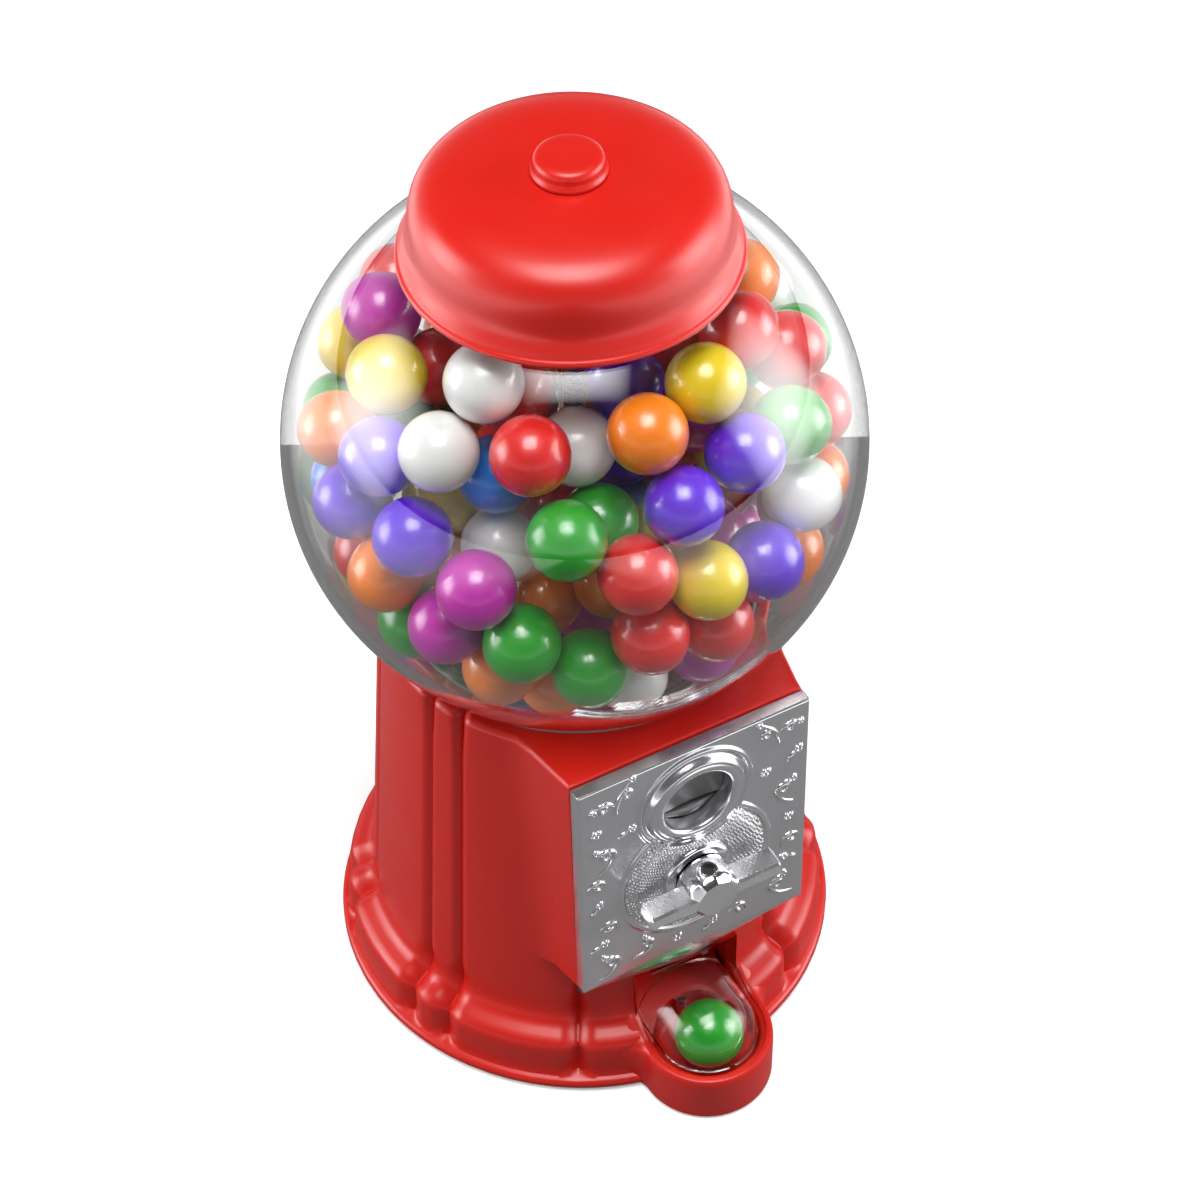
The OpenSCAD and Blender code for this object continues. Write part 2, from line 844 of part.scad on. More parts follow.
// Clear bullet-shaped flap over the throat and cup
module tray_flap() {
    back_y = -hinge_y - 2.4;
    color([0.9, 0.9, 0.95, 0.3]) difference() {
        union() {
            translate([0, -cup_y, flap_z]) rotate([-90, 0, 0])
                cylinder(r = flap_r, h = cup_y + back_y);
            translate([0, -cup_y, flap_z]) sphere(r = flap_r);
            translate([-8, -hinge_y, hinge_z]) rotate([0, 90, 0]) cylinder(r = 1.7, h = 16);
            translate([-8, -hinge_y - 4, hinge_z - 1.7]) cube([16, 4, 1.2]);
        }
        translate([0, -cup_y, flap_z]) rotate([-90, 0, 0])
            cylinder(r = flap_r - flap_wall, h = cup_y);
        translate([0, -cup_y, flap_z]) sphere(r = flap_r - flap_wall);
        translate([-20, -90, -20]) cube([40, 60, 20 + flap_z + 0.8]);
        translate([-9, -hinge_y, hinge_z]) rotate([0, 90, 0])
            cylinder(r = flap_pin_r + fit, h = 18);
    }
}

module flap_pin() {
    color("silver") translate([-10.8, -hinge_y, hinge_z]) rotate([0, 90, 0])
        cylinder(r = flap_pin_r, h = 21.6);
}

// ---------------------------------------------------------------- lid

module lid_outline() {
    polygon(concat(
        [[0, lid_z + lid_h - lid_wall]],
        [for (a = [84 : -12 : 0]) dome_point(dome_r - lid_wall, lid_h - lid_wall, a)],
        [[dome_r - lid_wall, lid_z + 0.6], [lid_r - 0.6, lid_z], [lid_r, lid_z + 0.8],
         [lid_r - 0.4, lid_z + 2], [dome_r + 0.4, lid_z + 3.4]],
        [for (a = [0 : 6 : 84]) dome_point(dome_r, lid_h, a)],
        [[0, lid_z + lid_h]]
    ));
}

// A point on the dome's rounded-square section
function dome_point(r, h, a) =
    [r * pow(cos(a), 0.36), lid_z + 5 + (h - 5) * pow(sin(a), 0.6)];

module lid() {
    color("red") difference() {
        rotate_extrude($fn = 120) lid_outline();
        cylinder(r = rod_r + 0.6, h = 400);
        globe_seat();
    }
}

module lid_gasket() {
    color("dimgray") difference() {
        translate([0, 0, lid_z - 0.4]) tube(30.4, 28.6, 3.4);
        globe_seat();
    }
}

module lid_knob() {
    color("red") difference() {
        rotate_extrude() polygon([
            [0, knob_z], [knob_base_r, knob_z],
            [knob_base_r, knob_z + 1], [knob_r, knob_z + 1.6],
            [knob_r, knob_z + knob_h - 0.8], [knob_r - 0.8, knob_z + knob_h],
            [0, knob_z + knob_h]
        ]);
        cylinder(r = rod_r + fit, h = knob_z + knob_h - 1.6);
    }
}

// ---------------------------------------------------------------- gumballs

// Spacing kept between gumball centres, and the shells they are packed in
pitch = 2 * ball_r + 0.12;
shell_r = [for (k = [0 : 2]) globe_drop - globe_wall - ball_r + 0.6 - k * (pitch + 0.02)];
shell_n = [104, 46, 12];
settle_rounds = 60;
hopper_balls = 7;
palette_share = [0.19, 0.17, 0.16, 0.15, 0.1, 0.08, 0.08, 0.07];

function unit(v) = v / norm(v);
function total(list) = len(list) == 0 ? [0, 0, 0] : [for (p = list) 1] * list;

// Even spiral start, shaken by seeded noise
function spiral(n, r, seed) =
    let (noise = rands(-0.32, 0.32, 2 * n, seed))
    [for (i = [0 : n - 1])
        let (c = 1 - (2 * i + 1 + noise[2 * i]) / n,
             a = i * 137.508 + 90 * noise[2 * i + 1])
            r * [sqrt(1 - c * c) * cos(a), sqrt(1 - c * c) * sin(a), c]];

// Pushes crowded gumballs apart along their shell
function settle(pts, r, rounds) =
    rounds == 0 ? pts : settle(
        [for (p = pts)
            let (push = total([for (q = pts)
                let (d = p - q, l = norm(d)) if (l > 0 && l < pitch)
                    d * (pitch * 1.004 - l) / (2 * l)]))
                r * unit(p + push)], r, rounds - 1);

// Gumballs of one shell that fit between the wheel, the rod and the fill level
function shell(k) =
    let (pts = settle(spiral(shell_n[k], shell_r[k], 7 + k), shell_r[k], settle_rounds),
         low = 114.9 - globe_z, high = fill_z - globe_z)
    [for (i = [0 : len(pts) - 1])
        let (p = pts[i],
             crowd = [for (j = [0 : 1 : i - 1]) if (norm(p - pts[j]) < 2 * ball_r + 0.02) j])
            if (len(crowd) == 0 && p[2] > low && p[2] < high
                && norm([p[0], p[1]]) > ball_r + rod_r + 0.3)
                    p + [0, 0, globe_z]];

function hopper_layer() =
    [for (i = [1 : hopper_balls])
        let (a = i * 360 / (hopper_balls + 1) - 90)
            [21.6 * cos(a), 21.6 * sin(a), floor_z + 3 * ball_r + 0.5]];

function all_balls() = concat(shell(0), shell(1), shell(2), hopper_layer());

// Running sum of the palette shares up to colour k
function share_up_to(k) = k < 0 ? 0 : palette_share[k] + share_up_to(k - 1);

// Gumballs whose seeded draw falls in colour k's share of the palette
module gumballs(k, tint) {
    balls = all_balls();
    draw = rands(0, 1, len(balls), 54);
    color(tint) for (i = [0 : len(balls) - 1])
        if (draw[i] >= share_up_to(k - 1) && draw[i] < share_up_to(k))
            translate(balls[i]) sphere(r = ball_r, $fn = 40);
}

module pocket_gumballs() {
    color("orange") for (a = [90, 180, 270]) rotate([0, 0, a])
        translate([0, -pocket_orbit, floor_z + ball_r + 0.1]) sphere(r = ball_r, $fn = 40);
}

module tray_gumball() {
    color("green") translate([0, -cup_y - 1.2, cup_floor_z + ball_r + 0.02])
        sphere(r = ball_r, $fn = 60);
}

// ---------------------------------------------------------------- build

body_casting();
base_cover();
cover_screws();
foot_pads();
nut_plug();
coin_door();
centre_rod();
rod_nut();
rod_washer();
support_tube();
globe();
globe_gasket();
hopper_ring();
ball_guard();
guard_rivets();
dispensing_wheel();
wheel_pegs();
wheel_floor();
ball_chute();
front_plate();
plate_screws();
coin_cup();
shaft_bushing();
handle();
handle_pin();
handle_shaft();
coin_wheel();
ratchet_wheel();
drive_gear();
shaft_clip();
back_plate();
back_bushing();
mech_spacers();
mech_screws();
pawl();
pawl_pin();
pawl_spring();
tray_flap();
flap_pin();
lid();
lid_gasket();
lid_knob();
tray_gumball();
pocket_gumballs();
gumballs(0, "red");  // gumballs_red
gumballs(1, "orange");  // gumballs_orange
gumballs(2, "yellow");  // gumballs_yellow
gumballs(3, "green");  // gumballs_green
gumballs(4, "blueviolet");  // gumballs_violet
gumballs(5, "dodgerblue");  // gumballs_blue
gumballs(6, "magenta");  // gumballs_magenta
gumballs(7, "white");  // gumballs_white
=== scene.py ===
"""Gumball machine: finished shells, plate, handle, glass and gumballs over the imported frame."""

import json
import math
import random

import bmesh
import bpy
from mathutils import Euler, Matrix, Vector


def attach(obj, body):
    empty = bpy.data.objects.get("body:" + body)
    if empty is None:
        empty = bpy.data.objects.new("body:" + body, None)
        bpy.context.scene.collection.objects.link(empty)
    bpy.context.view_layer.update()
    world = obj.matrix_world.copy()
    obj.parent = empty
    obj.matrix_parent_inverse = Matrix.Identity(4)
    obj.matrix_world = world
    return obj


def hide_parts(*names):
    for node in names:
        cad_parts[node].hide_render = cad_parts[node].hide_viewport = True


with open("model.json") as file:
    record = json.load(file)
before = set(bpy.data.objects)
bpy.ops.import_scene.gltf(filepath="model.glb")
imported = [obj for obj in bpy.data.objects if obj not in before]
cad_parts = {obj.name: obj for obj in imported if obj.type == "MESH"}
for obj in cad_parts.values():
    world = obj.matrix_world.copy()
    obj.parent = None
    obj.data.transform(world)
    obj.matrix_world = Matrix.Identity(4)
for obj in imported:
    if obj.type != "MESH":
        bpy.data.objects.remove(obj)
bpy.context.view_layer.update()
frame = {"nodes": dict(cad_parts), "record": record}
MM = 0.001
FLOOR_GAP = 0.0002  # metres that the floor lies below the feet


# ---------------------------------------------------------------- numbers

# Casting: outside of the foot as (radius, height, outward part, upward part, groove share)
FOOT = [
    (58.6, 0.8, 0, 0, 0), (59.2, 1.0, 0, 0, 0), (59.4, 1.5, 0, 0, 0), (59.4, 2.3, 0, 0, 0),
    (59.1, 2.9, 0, 0, 0), (58.5, 3.2, 0, 0, 0), (57.9, 3.5, 1, 0, 0.35), (57.6, 4.2, 1, 0, 0.8),
    (57.45, 6, 1, 0, 1), (57.4, 9, 1, 0, 1), (57.35, 12.0, 1, 0, 1), (57.15, 13.1, 0.93, 0.36, 1),
    (56.7, 14.0, 0.66, 0.75, 1), (56.0, 14.7, 0.48, 0.88, 1), (54.8, 15.35, 0.44, 0.9, 1),
    (53.6, 15.9, 0.44, 0.9, 1), (52.6, 16.5, 0.55, 0.83, 1), (51.8, 17.3, 0.75, 0.66, 1),
    (51.2, 18.4, 0.93, 0.36, 1),
]
COLUMN = [(20, 50.8), (42, 49.2), (81, 46.4), (105, 44.7)]
COLUMN_START = 20
COLUMN_TOP_Z, COLUMN_TOP_R = COLUMN[-1]
# Raised front block: foot, face, sides with their taper, and the azimuth past which it ends
BLOCK_FOOT, BLOCK_FRONT, BLOCK_SIDE, BLOCK_TAPER, BLOCK_AZ = 38, 48.85, 38.04, 0.1951, 75
TOP_Z = 107.2
BORE_R, LEDGE_Z, LEDGE_R = 41.2, 98, 38.6
SKIN_GAP = 1.9  # faces further in than this belong to the wall's inside
# Creases between the casting's panels, as degrees either side of the front; the last two are
# guessed and the others were measured on the photo
CREASES = (30.3, 63.9, 75.0, 107.1, 117.5, 150.0, 161.0)
CREASE_WIDTH, CREASE_DEPTH = 2.6, 1.5
STEP_CREASE_WIDTH, STEP_CREASE_DEPTH = 4.6, 2.3
# Throat that the gumball comes out of, and the chute's mouth inside it
THROAT_AZ, THROAT_TOP, THROAT_HW = 15.4, 30.5, 13.3
CHUTE_HW = 9.4

# Coin front
LEAN = math.radians(1.1)
HUB_Y, HUB_Z = -52.1, 66.8
PLATE_HW, PLATE_TOP, PLATE_BOTTOM, PLATE_T = 28.6, 39.4, -27.6, 3.1
# Coin opening: height above the shaft and radius
COIN_W, COIN_R = 23.8, 8.4
# Opening in the casting behind the plate, and the bay that the mechanism stands in
WINDOW_Y, WINDOW_HW, WINDOW_LOW, WINDOW_HIGH = -47.6, 23.6, -25, 34
BAY_AZ, BAY_LOW, BAY_HIGH = 52, 28, 97.5

# Tray
CUP_Y, CUP_R, CUP_BORE = -59, 15.6, 12.4
CUP_FLOOR, RIM_Z = 5.3, 14
CUP_WALL_Z = 10.6
TROUGH_START_Y, TROUGH_END_Y = -47.5, -38
RAMP_Y, RAMP_Z, RAMP_ANGLE = -47, 12.2, 24
FILLET_R = 6
STEP_R = 57.4

# Globe, lid and gumballs
GLOBE_R, GLOBE_DROP, GLOBE_Z, GLOBE_WALL = 61.97, 60.2, 153.6, 2
MOUTH_R, FILL_R = 37, 29
BALL_R = 8.1

# Camera, fitted to the photo's outlines: place in millimetres; tilt, roll and turn in degrees
CAMERA_PLACE, CAMERA_TURNS = (-221.976, -419.395, 610.297), (43.1661, 0.5543, -29.0629)
SENSOR, LENS = 36, 93.53
# Level directions over the floor, away from the camera and to its right
AWAY, ASIDE = (0.4767, 0.879, 0), (0.874, -0.486, 0)


# ---------------------------------------------------------------- mesh tools

class Shell:
    """Collects grids of points, in millimetres, into one mesh."""

    def __init__(self):
        self.verts = []
        self.faces = []

    def grid(self, rows, loop=False):
        base, n = len(self.verts), len(rows[0])
        for row in rows:
            self.verts.extend(row)
        for i in range(len(rows) - 1):
            for j in range(n if loop else n - 1):
                k = (j + 1) % n
                a, b = base + i * n, base + (i + 1) * n
                self.faces.append((a + j, a + k, b + k, b + j))
        return self

    def lathe(self, profile, steps=96, place=None):
        """Turns (radius, height) points round the Z axis; place moves each point."""
        rows = []
        for r, z in profile:
            row = [(r * math.cos(t), r * math.sin(t), z)
                   for t in (math.tau * i / steps for i in range(steps))]
            rows.append([place(*p) for p in row] if place else row)
        return self.grid(rows, loop=True)

    def drop(self, test):
        """Removes every face whose centre passes the test."""
        kept = []
        for face in self.faces:
            pts = [self.verts[i] for i in face]
            if not test(*(sum(c) / len(pts) for c in zip(*pts))):
                kept.append(face)
        self.faces = kept
        return self


def piece(name, shell, body, mat, stands_for=(), sharp=38):
    """Makes a smooth-shaded object from a shell and rides it on a body."""
    data = bpy.data.meshes.new(name)
    data.from_pydata([(x * MM, y * MM, z * MM) for x, y, z in shell.verts], [], shell.faces)
    bm = bmesh.new()
    bm.from_mesh(data)
    bmesh.ops.remove_doubles(bm, verts=bm.verts, dist=0.002 * MM)
    bmesh.ops.dissolve_degenerate(bm, edges=bm.edges, dist=0.001 * MM)
    loose = [v for v in bm.verts if not v.link_faces]
    bmesh.ops.delete(bm, geom=loose, context="VERTS")
    bmesh.ops.recalc_face_normals(bm, faces=bm.faces)
    bm.to_mesh(data)
    bm.free()
    data.shade_smooth()
    data.set_sharp_from_angle(angle=math.radians(sharp))
    obj = bpy.data.objects.new(name, data)
    bpy.context.scene.collection.objects.link(obj)
    data.materials.append(mat)
    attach(obj, body)
    if stands_for:
        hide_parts(*stands_for)
    return obj


def ease(t):
    """Smooth step from 0 to 1."""
    t = min(1, max(0, t))
    return t * t * (3 - 2 * t)


def soft_max(a, b, k):
    """Larger of two values, blended where they are within k of each other."""
    h = max(k - abs(a - b), 0) / k
    return max(a, b) + h * h * k / 4


def along(table, x):
    """Straight-line lookup in a table of (x, value)."""
    for (x0, v0), (x1, v1) in zip(table, table[1:]):
        if x <= x1:
            return v0 + (v1 - v0) * (x - x0) / (x1 - x0)
    return table[-1][1]


def around(r, az, z):
    """Point at a radius and an azimuth measured from the front, positive to the right."""
    return (r * math.sin(math.radians(az)), -r * math.cos(math.radians(az)), z)


def on_plate(x, out, w):
    """Point in the plate's frame: across, out of the plate, up the plate from the shaft."""
    return (x, HUB_Y - out * math.cos(LEAN) + w * math.sin(LEAN),
            HUB_Z + out * math.sin(LEAN) + w * math.cos(LEAN))


# ---------------------------------------------------------------- materials

def node_material(name):
    """New node material, with its nodes, links and shader."""
    mat = bpy.data.materials.new(name)
    mat.use_nodes = True
    tree = mat.node_tree
    return mat, tree.nodes, tree.links, tree.nodes["Principled BSDF"]


def noise(nodes, links, scale, detail=3, stretch=(1, 1, 1)):
    """Noise in object space; scale is in features per metre."""
    coord = nodes.new("ShaderNodeTexCoord")
    mapping = nodes.new("ShaderNodeMapping")
    mapping.inputs["Scale"].default_value = stretch
    tex = nodes.new("ShaderNodeTexNoise")
    tex.inputs["Scale"].default_value = scale
    tex.inputs["Detail"].default_value = detail
    links.new(coord.outputs["Object"], mapping.inputs["Vector"])
    links.new(mapping.outputs["Vector"], tex.inputs["Vector"])
    return tex.outputs["Fac"]


def remap(nodes, links, value, low, high):
    """Spreads a noise value over a range."""
    node = nodes.new("ShaderNodeMapRange")
    node.inputs["From Min"].default_value = 0.3
    node.inputs["From Max"].default_value = 0.7
    node.inputs["To Min"].default_value = low
    node.inputs["To Max"].default_value = high
    links.new(value, node.inputs["Value"])
    return node.outputs["Result"]


def finish_material(name, colour, rough, metal=0.0, coat=0.0, vary=0.06, rough_vary=0.04,
                    cloud=60, grain=2500, relief=0.02, stretch=(1, 1, 1), extra=None):
    """Principled finish with clouded colour, uneven gloss and fine surface relief."""
    mat, nodes, links, bsdf = node_material(name)
    mix = nodes.new("ShaderNodeMix")
    mix.data_type = "RGBA"
    mix.inputs["A"].default_value = (*[c * (1 - vary) for c in colour], 1)
    mix.inputs["B"].default_value = (*[min(1, c * (1 + vary)) for c in colour], 1)
    links.new(noise(nodes, links, cloud), mix.inputs["Factor"])
    links.new(mix.outputs["Result"], bsdf.inputs["Base Color"])
    uneven = noise(nodes, links, cloud * 4, 4, stretch)
    links.new(remap(nodes, links, uneven, max(0.01, rough - rough_vary), rough + rough_vary),
              bsdf.inputs["Roughness"])
    bump = nodes.new("ShaderNodeBump")
    bump.inputs["Strength"].default_value = relief
    bump.inputs["Distance"].default_value = 0.0004
    links.new(noise(nodes, links, grain, 2, stretch), bump.inputs["Height"])
    links.new(bump.outputs["Normal"], bsdf.inputs["Normal"])
    bsdf.inputs["Metallic"].default_value = metal
    bsdf.inputs["Coat Weight"].default_value = coat
    bsdf.inputs["Coat Roughness"].default_value = 0.04
    for key, value in (extra or {}).items():
        bsdf.inputs[key].default_value = value
    return mat


def clear_material(name, tint, ior):
    """Clear solid that lets light through in shadow rays and carries faint smears."""
    mat, nodes, links, bsdf = node_material(name)
    bsdf.inputs["Base Color"].default_value = (*tint, 1)
    bsdf.inputs["Transmission Weight"].default_value = 1
    bsdf.inputs["IOR"].default_value = ior
    bsdf.inputs["Specular IOR Level"].default_value = 0.055
    smear = noise(nodes, links, 35, 4)
    links.new(remap(nodes, links, smear, 0.0, 0.025), bsdf.inputs["Roughness"])
    through = nodes.new("ShaderNodeBsdfTransparent")
    through.inputs["Color"].default_value = (0.94, 0.95, 0.95, 1)
    path = nodes.new("ShaderNodeLightPath")
    pick = nodes.new("ShaderNodeMixShader")
    either = nodes.new("ShaderNodeMath")
    either.operation = "MAXIMUM"
    links.new(path.outputs["Is Shadow Ray"], either.inputs[0])
    links.new(path.outputs["Is Diffuse Ray"], either.inputs[1])
    links.new(either.outputs[0], pick.inputs["Fac"])
    links.new(bsdf.outputs["BSDF"], pick.inputs[1])
    links.new(through.outputs["BSDF"], pick.inputs[2])
    links.new(pick.outputs["Shader"], nodes["Material Output"].inputs["Surface"])
    return mat


GUM_COLOURS = {
    "red": (0.68, 0.012, 0.01), "orange": (0.9, 0.21, 0.004), "yellow": (0.76, 0.56, 0.004),
    "green": (0.006, 0.3, 0.008), "violet": (0.1, 0.003, 0.62), "blue": (0.01, 0.19, 0.72),
    "magenta": (0.5, 0.004, 0.36), "white": (0.82, 0.81, 0.79),
}
MATS = {
    "red_enamel": finish_material("red_enamel", (0.58, 0.008, 0.0025), 0.37, coat=0.1, vary=0.05,
                                  relief=0.012, cloud=18, grain=1800),
    "chrome": finish_material("chrome", (0.78, 0.78, 0.8), 0.1, metal=1, relief=0.02),
    "dark_chrome": finish_material("dark_chrome", (0.6, 0.6, 0.62), 0.17, metal=0.85, vary=0.1,
                                   relief=0.03),
    "glass": clear_material("glass", (0.985, 0.99, 0.99), 1.45),
    "clear_plastic": clear_material("clear_plastic", (0.98, 0.98, 0.985), 1.35),
    "steel": finish_material("steel", (0.56, 0.57, 0.59), 0.3, metal=1, rough_vary=0.12,
                             relief=0.12, stretch=(1, 1, 14)),
    "wing_chrome": finish_material("wing_chrome", (0.85, 0.85, 0.86), 0.26, metal=1, relief=0.05),
    "stop_metal": finish_material("stop_metal", (0.22, 0.22, 0.225), 0.42, metal=0.8, relief=0.05),
    "brass": finish_material("brass", (0.72, 0.5, 0.2), 0.3, metal=1, rough_vary=0.1, relief=0.08),
    "white_plastic": finish_material("white_plastic", (0.75, 0.74, 0.7), 0.42, relief=0.06),
    "black_plastic": finish_material("black_plastic", (0.02, 0.02, 0.021), 0.5, relief=0.2),
    "rubber": finish_material("rubber", (0.028, 0.028, 0.028), 0.75, vary=0.2, relief=0.3),
    "grey_seal": finish_material("grey_seal", (0.3, 0.3, 0.305), 0.35, vary=0.1, relief=0.08),
}
for tint, rgb in GUM_COLOURS.items():
    MATS["gum_" + tint] = finish_material(
        "gum_" + tint, rgb, 0.34, coat=0.9, vary=0.05, rough_vary=0.05, cloud=120, relief=0.015,
        extra={"Subsurface Weight": 0.08, "Subsurface Radius": (0.004, 0.003, 0.003),
               "Coat Roughness": 0.07})

# Near-black finish for the pin: painted shade in the hub's cross hole
MATS["pin_painted_shade"] = finish_material("pin_painted_shade", (0.05, 0.05, 0.05), 0.5, metal=0.5, relief=0.1)

# Every CAD node gets its slot's finish; the pin gets a near-black finish, painted shade where it
# shows in the hub's cross hole
SLOT_OF = {row["node"]: row["material_slot"] for row in frame["record"]["subparts"]}
for node_name, node_obj in frame["nodes"].items():
    node_obj.data.materials.clear()
    node_obj.data.materials.append(MATS[SLOT_OF[node_name]])
frame["nodes"]["handle_pin"].data.materials[0] = MATS["pin_painted_shade"]


# ---------------------------------------------------------------- casting

def block_reach(az, z):
    """Distance from the axis to the raised front at an azimuth, before blending."""
    a = math.radians(abs(az))
    if abs(az) > BLOCK_AZ:
        return 0
    front = (BLOCK_FRONT - (z - HUB_Z) * math.tan(LEAN)) / math.cos(a)
    side = BLOCK_SIDE / (math.sin(a) + BLOCK_TAPER * math.cos(a))
    return min(front, side)


def crease_at(az, width):
    """0 on a panel, 1 in the bottom of a crease."""
    off = min(abs(abs(az) - c) for c in CREASES)
    return max(0, 1 - off / width) ** 1.7


def outer_r(az, z):
    """Radius of the casting's outside where the column and the block blend."""
    column = along(COLUMN, z)
    block = block_reach(az, z)
    fade = 1 - ease((block - column + 0.5) / 2.5)
    return soft_max(block, column - CREASE_DEPTH * crease_at(az, CREASE_WIDTH) * fade, 1.4)


def casting_section(az):
    """Outside of the casting at one azimuth, from the flange's underside to the collar bore."""
    wide = crease_at(az, STEP_CREASE_WIDTH) * STEP_CREASE_DEPTH
    narrow = crease_at(az, CREASE_WIDTH) * CREASE_DEPTH
    pts = [(r - nr * wide * k, z - nz * wide * k) for r, z, nr, nz, k in FOOT]
    step_out = max(0, block_reach(az, BLOCK_FOOT) - along(COLUMN, BLOCK_FOOT))
    cove_top = BLOCK_FOOT + 0.65 * step_out
    for i in range(9):
        z = COLUMN_START + (cove_top - COLUMN_START) * i / 8
        flare = max(0, 1 - (z - COLUMN_START) / 5)
        pts.append((along(COLUMN, z) - narrow - (wide - narrow) * flare, z))
    r_in, r_out = pts[-1][0], outer_r(az, BLOCK_FOOT)
    for i in range(1, 6):
        t = i / 6
        pts.append((r_in + (r_out - r_in) * t,
                    BLOCK_FOOT + (cove_top - BLOCK_FOOT) * (1 - t) ** 1.6))
    edge = 0.4 + 1.1 * ease((abs(az) - 29) / 4)
    # The top face falls a little towards the block's front, and creases notch its edge
    clear = outer_r(az, COLUMN_TOP_Z) - COLUMN_TOP_R
    z_top = TOP_Z - 0.6 * min(1, max(0, clear) / 10)
    notch = crease_at(az, 1.5 * CREASE_WIDTH) * (1 if clear < 0.2 else 0)
    for i in range(19):
        z = BLOCK_FOOT + (z_top - edge - BLOCK_FOOT) * i / 18
        pts.append((outer_r(az, z) - 0.9 * notch * max(0, i - 15) / 3, z))
    r_top = pts[-1][0]
    for i in range(1, 6):
        t = math.radians(18 * i)
        pts.append((r_top - edge * (1 - math.cos(t)) - 0.16 * i * notch,
                    z_top - edge + edge * math.sin(t) - 0.1 * i * notch))
    r_top = pts[-1][0]
    for i in range(1, 6):
        t = i / 5
        pts.append((r_top + (BORE_R + 0.35 - r_top) * t, z_top + (TOP_Z - z_top) * t))
    pts += [(BORE_R + 0.1, TOP_Z - 0.1), (BORE_R, TOP_Z - 0.4), (BORE_R, LEDGE_Z)]
    return pts


def casting_inside():
    """Inside of the casting's wall, from the collar ledge down to the flange."""
    return [(LEDGE_R, LEDGE_Z), (LEDGE_R, 96.4), (42.2, 94.4), (43.8, 81), (46.6, 42), (48.4, 19),
            (49.2, 16), (54.6, 13), (54.8, 4), (54.9, 0.9), (58.6, 0.8)]


def azimuths():
    """Azimuths that the casting is sampled at, closer together near each crease."""
    offsets = (0, 0.25, 0.55, 0.9, 1.3, 1.8, 2.4, 3.1, 3.9, 4.7, 5.6)
    found = {THROAT_AZ, -THROAT_AZ, 180}
    plain = (0, 3.5, 7, 11, 19, 22, 36, 41, 46, 51, 56, 85, 91, 97, 127, 133, 139, 170)
    found.update(side * az for az in plain for side in (-1, 1))
    for crease in CREASES:
        for off in offsets:
            found.update(side * (crease + way * off) for side in (-1, 1) for way in (-1, 1))
    ordered = sorted(round(az, 3) for az in found)
    return [a for a, b in zip(ordered, ordered[1:] + [999]) if b - a > 0.12]


def make_casting():
    """Column, step, flange and block as one skin, opened at the throat and behind the plate."""
    shell = Shell()
    angles = azimuths()
    sections = [casting_section(a) + casting_inside() for a in angles]
    rows = [[around(sec[i][0], a, sec[i][1]) for a, sec in zip(angles, sections)]
            for i in range(len(sections[0]))]
    shell.grid(rows, loop=True)

    def opened(x, y, z):
        az = math.degrees(math.atan2(x, -y))
        r = math.hypot(x, y)
        if abs(az) < THROAT_AZ and z < THROAT_TOP:
            return True
        inner = r < along(COLUMN, max(z, COLUMN_START)) - SKIN_GAP
        if inner and abs(az) < BAY_AZ and BAY_LOW < z < BAY_HIGH:
            return True
        w = z - HUB_Z
        return y < WINDOW_Y and abs(x) < WINDOW_HW and WINDOW_LOW < w < WINDOW_HIGH

    shell.drop(opened)
    # Jambs of the throat
    step = (THROAT_TOP - 12) / 10
    path = [(-THROAT_AZ, 12 + step * i) for i in range(11)]
    path += [(THROAT_AZ * (i / 8 - 1), THROAT_TOP) for i in range(1, 16)]
    path += [(THROAT_AZ, 12 + step * (10 - i)) for i in range(11)]
    shell.grid([[around(along(COLUMN, max(COLUMN_START, z)) - back, a, z) for a, z in path]
                for back in (0, 0.3, 3)])
    # Inside of the throat: sides, ceiling and the frame round the chute's mouth
    deep = [-49.8 + i * 1.5 for i in range(7)]
    levels = (8, 14, 20, 24, THROAT_TOP)
    for side in (-1, 1):
        shell.grid([[(side * THROAT_HW, y, z) for y in deep] for z in levels])
        shell.grid([[(side * x, deep[-1], z) for x in (CHUTE_HW, 11, THROAT_HW)] for z in levels])
    shell.grid([[(x, y, THROAT_TOP) for y in deep] for x in (-THROAT_HW, -6, 0, 6, THROAT_HW)])
    shell.grid([[(x, deep[-1], z) for x in (-CHUTE_HW, 0, CHUTE_HW)]
                for z in (23, 25, THROAT_TOP)])
    return shell


# ---------------------------------------------------------------- tray

def ramp_z(y):
    """Height of the trough's floor, which slopes down to the pocket."""
    return RAMP_Z + (y - RAMP_Y) * math.tan(math.radians(RAMP_ANGLE))


def rim_lift(y):
    """How far the trough's side rises above the cup's rim towards the column."""
    return 4.2 * ease((y + 56) / 8.5)


def tray_stations():
    """Outer wall point, and the inward-facing frame of the lip, round the tray."""
    far, near = STEP_R + FILLET_R, CUP_R + FILLET_R
    fy = (far * far + CUP_Y * CUP_Y - near * near) / (2 * -CUP_Y)
    fx = math.sqrt(far * far - fy * fy)
    start = math.atan2(-fy * STEP_R / far + fy, fx * STEP_R / far - fx)
    end = math.atan2(CUP_Y + (-fy - CUP_Y) * CUP_R / near + fy, fx * CUP_R / near - fx)
    if end < start:
        end += math.tau
    right = []
    for i in range(13):
        t = start + (end - start) * i / 12
        wall = (fx + FILLET_R * math.cos(t), -fy + FILLET_R * math.sin(t))
        y = TROUGH_START_Y + (CUP_Y - TROUGH_START_Y) * i / 12
        right.append((wall, y, None))
    right.insert(0, ((right[0][0][0] * 0.985, right[0][0][1] * 0.985), -46.5, None))
    arc = [((CUP_R * math.cos(t), CUP_Y - CUP_R * math.sin(t)), None, t)
           for t in (math.pi * i / 48 for i in range(1, 48))]
    left = [((-wall[0], wall[1]), y, -1) for wall, y, _ in reversed(right)]
    right = [(wall, y, 1) for wall, y, _ in right]
    return right, arc, left


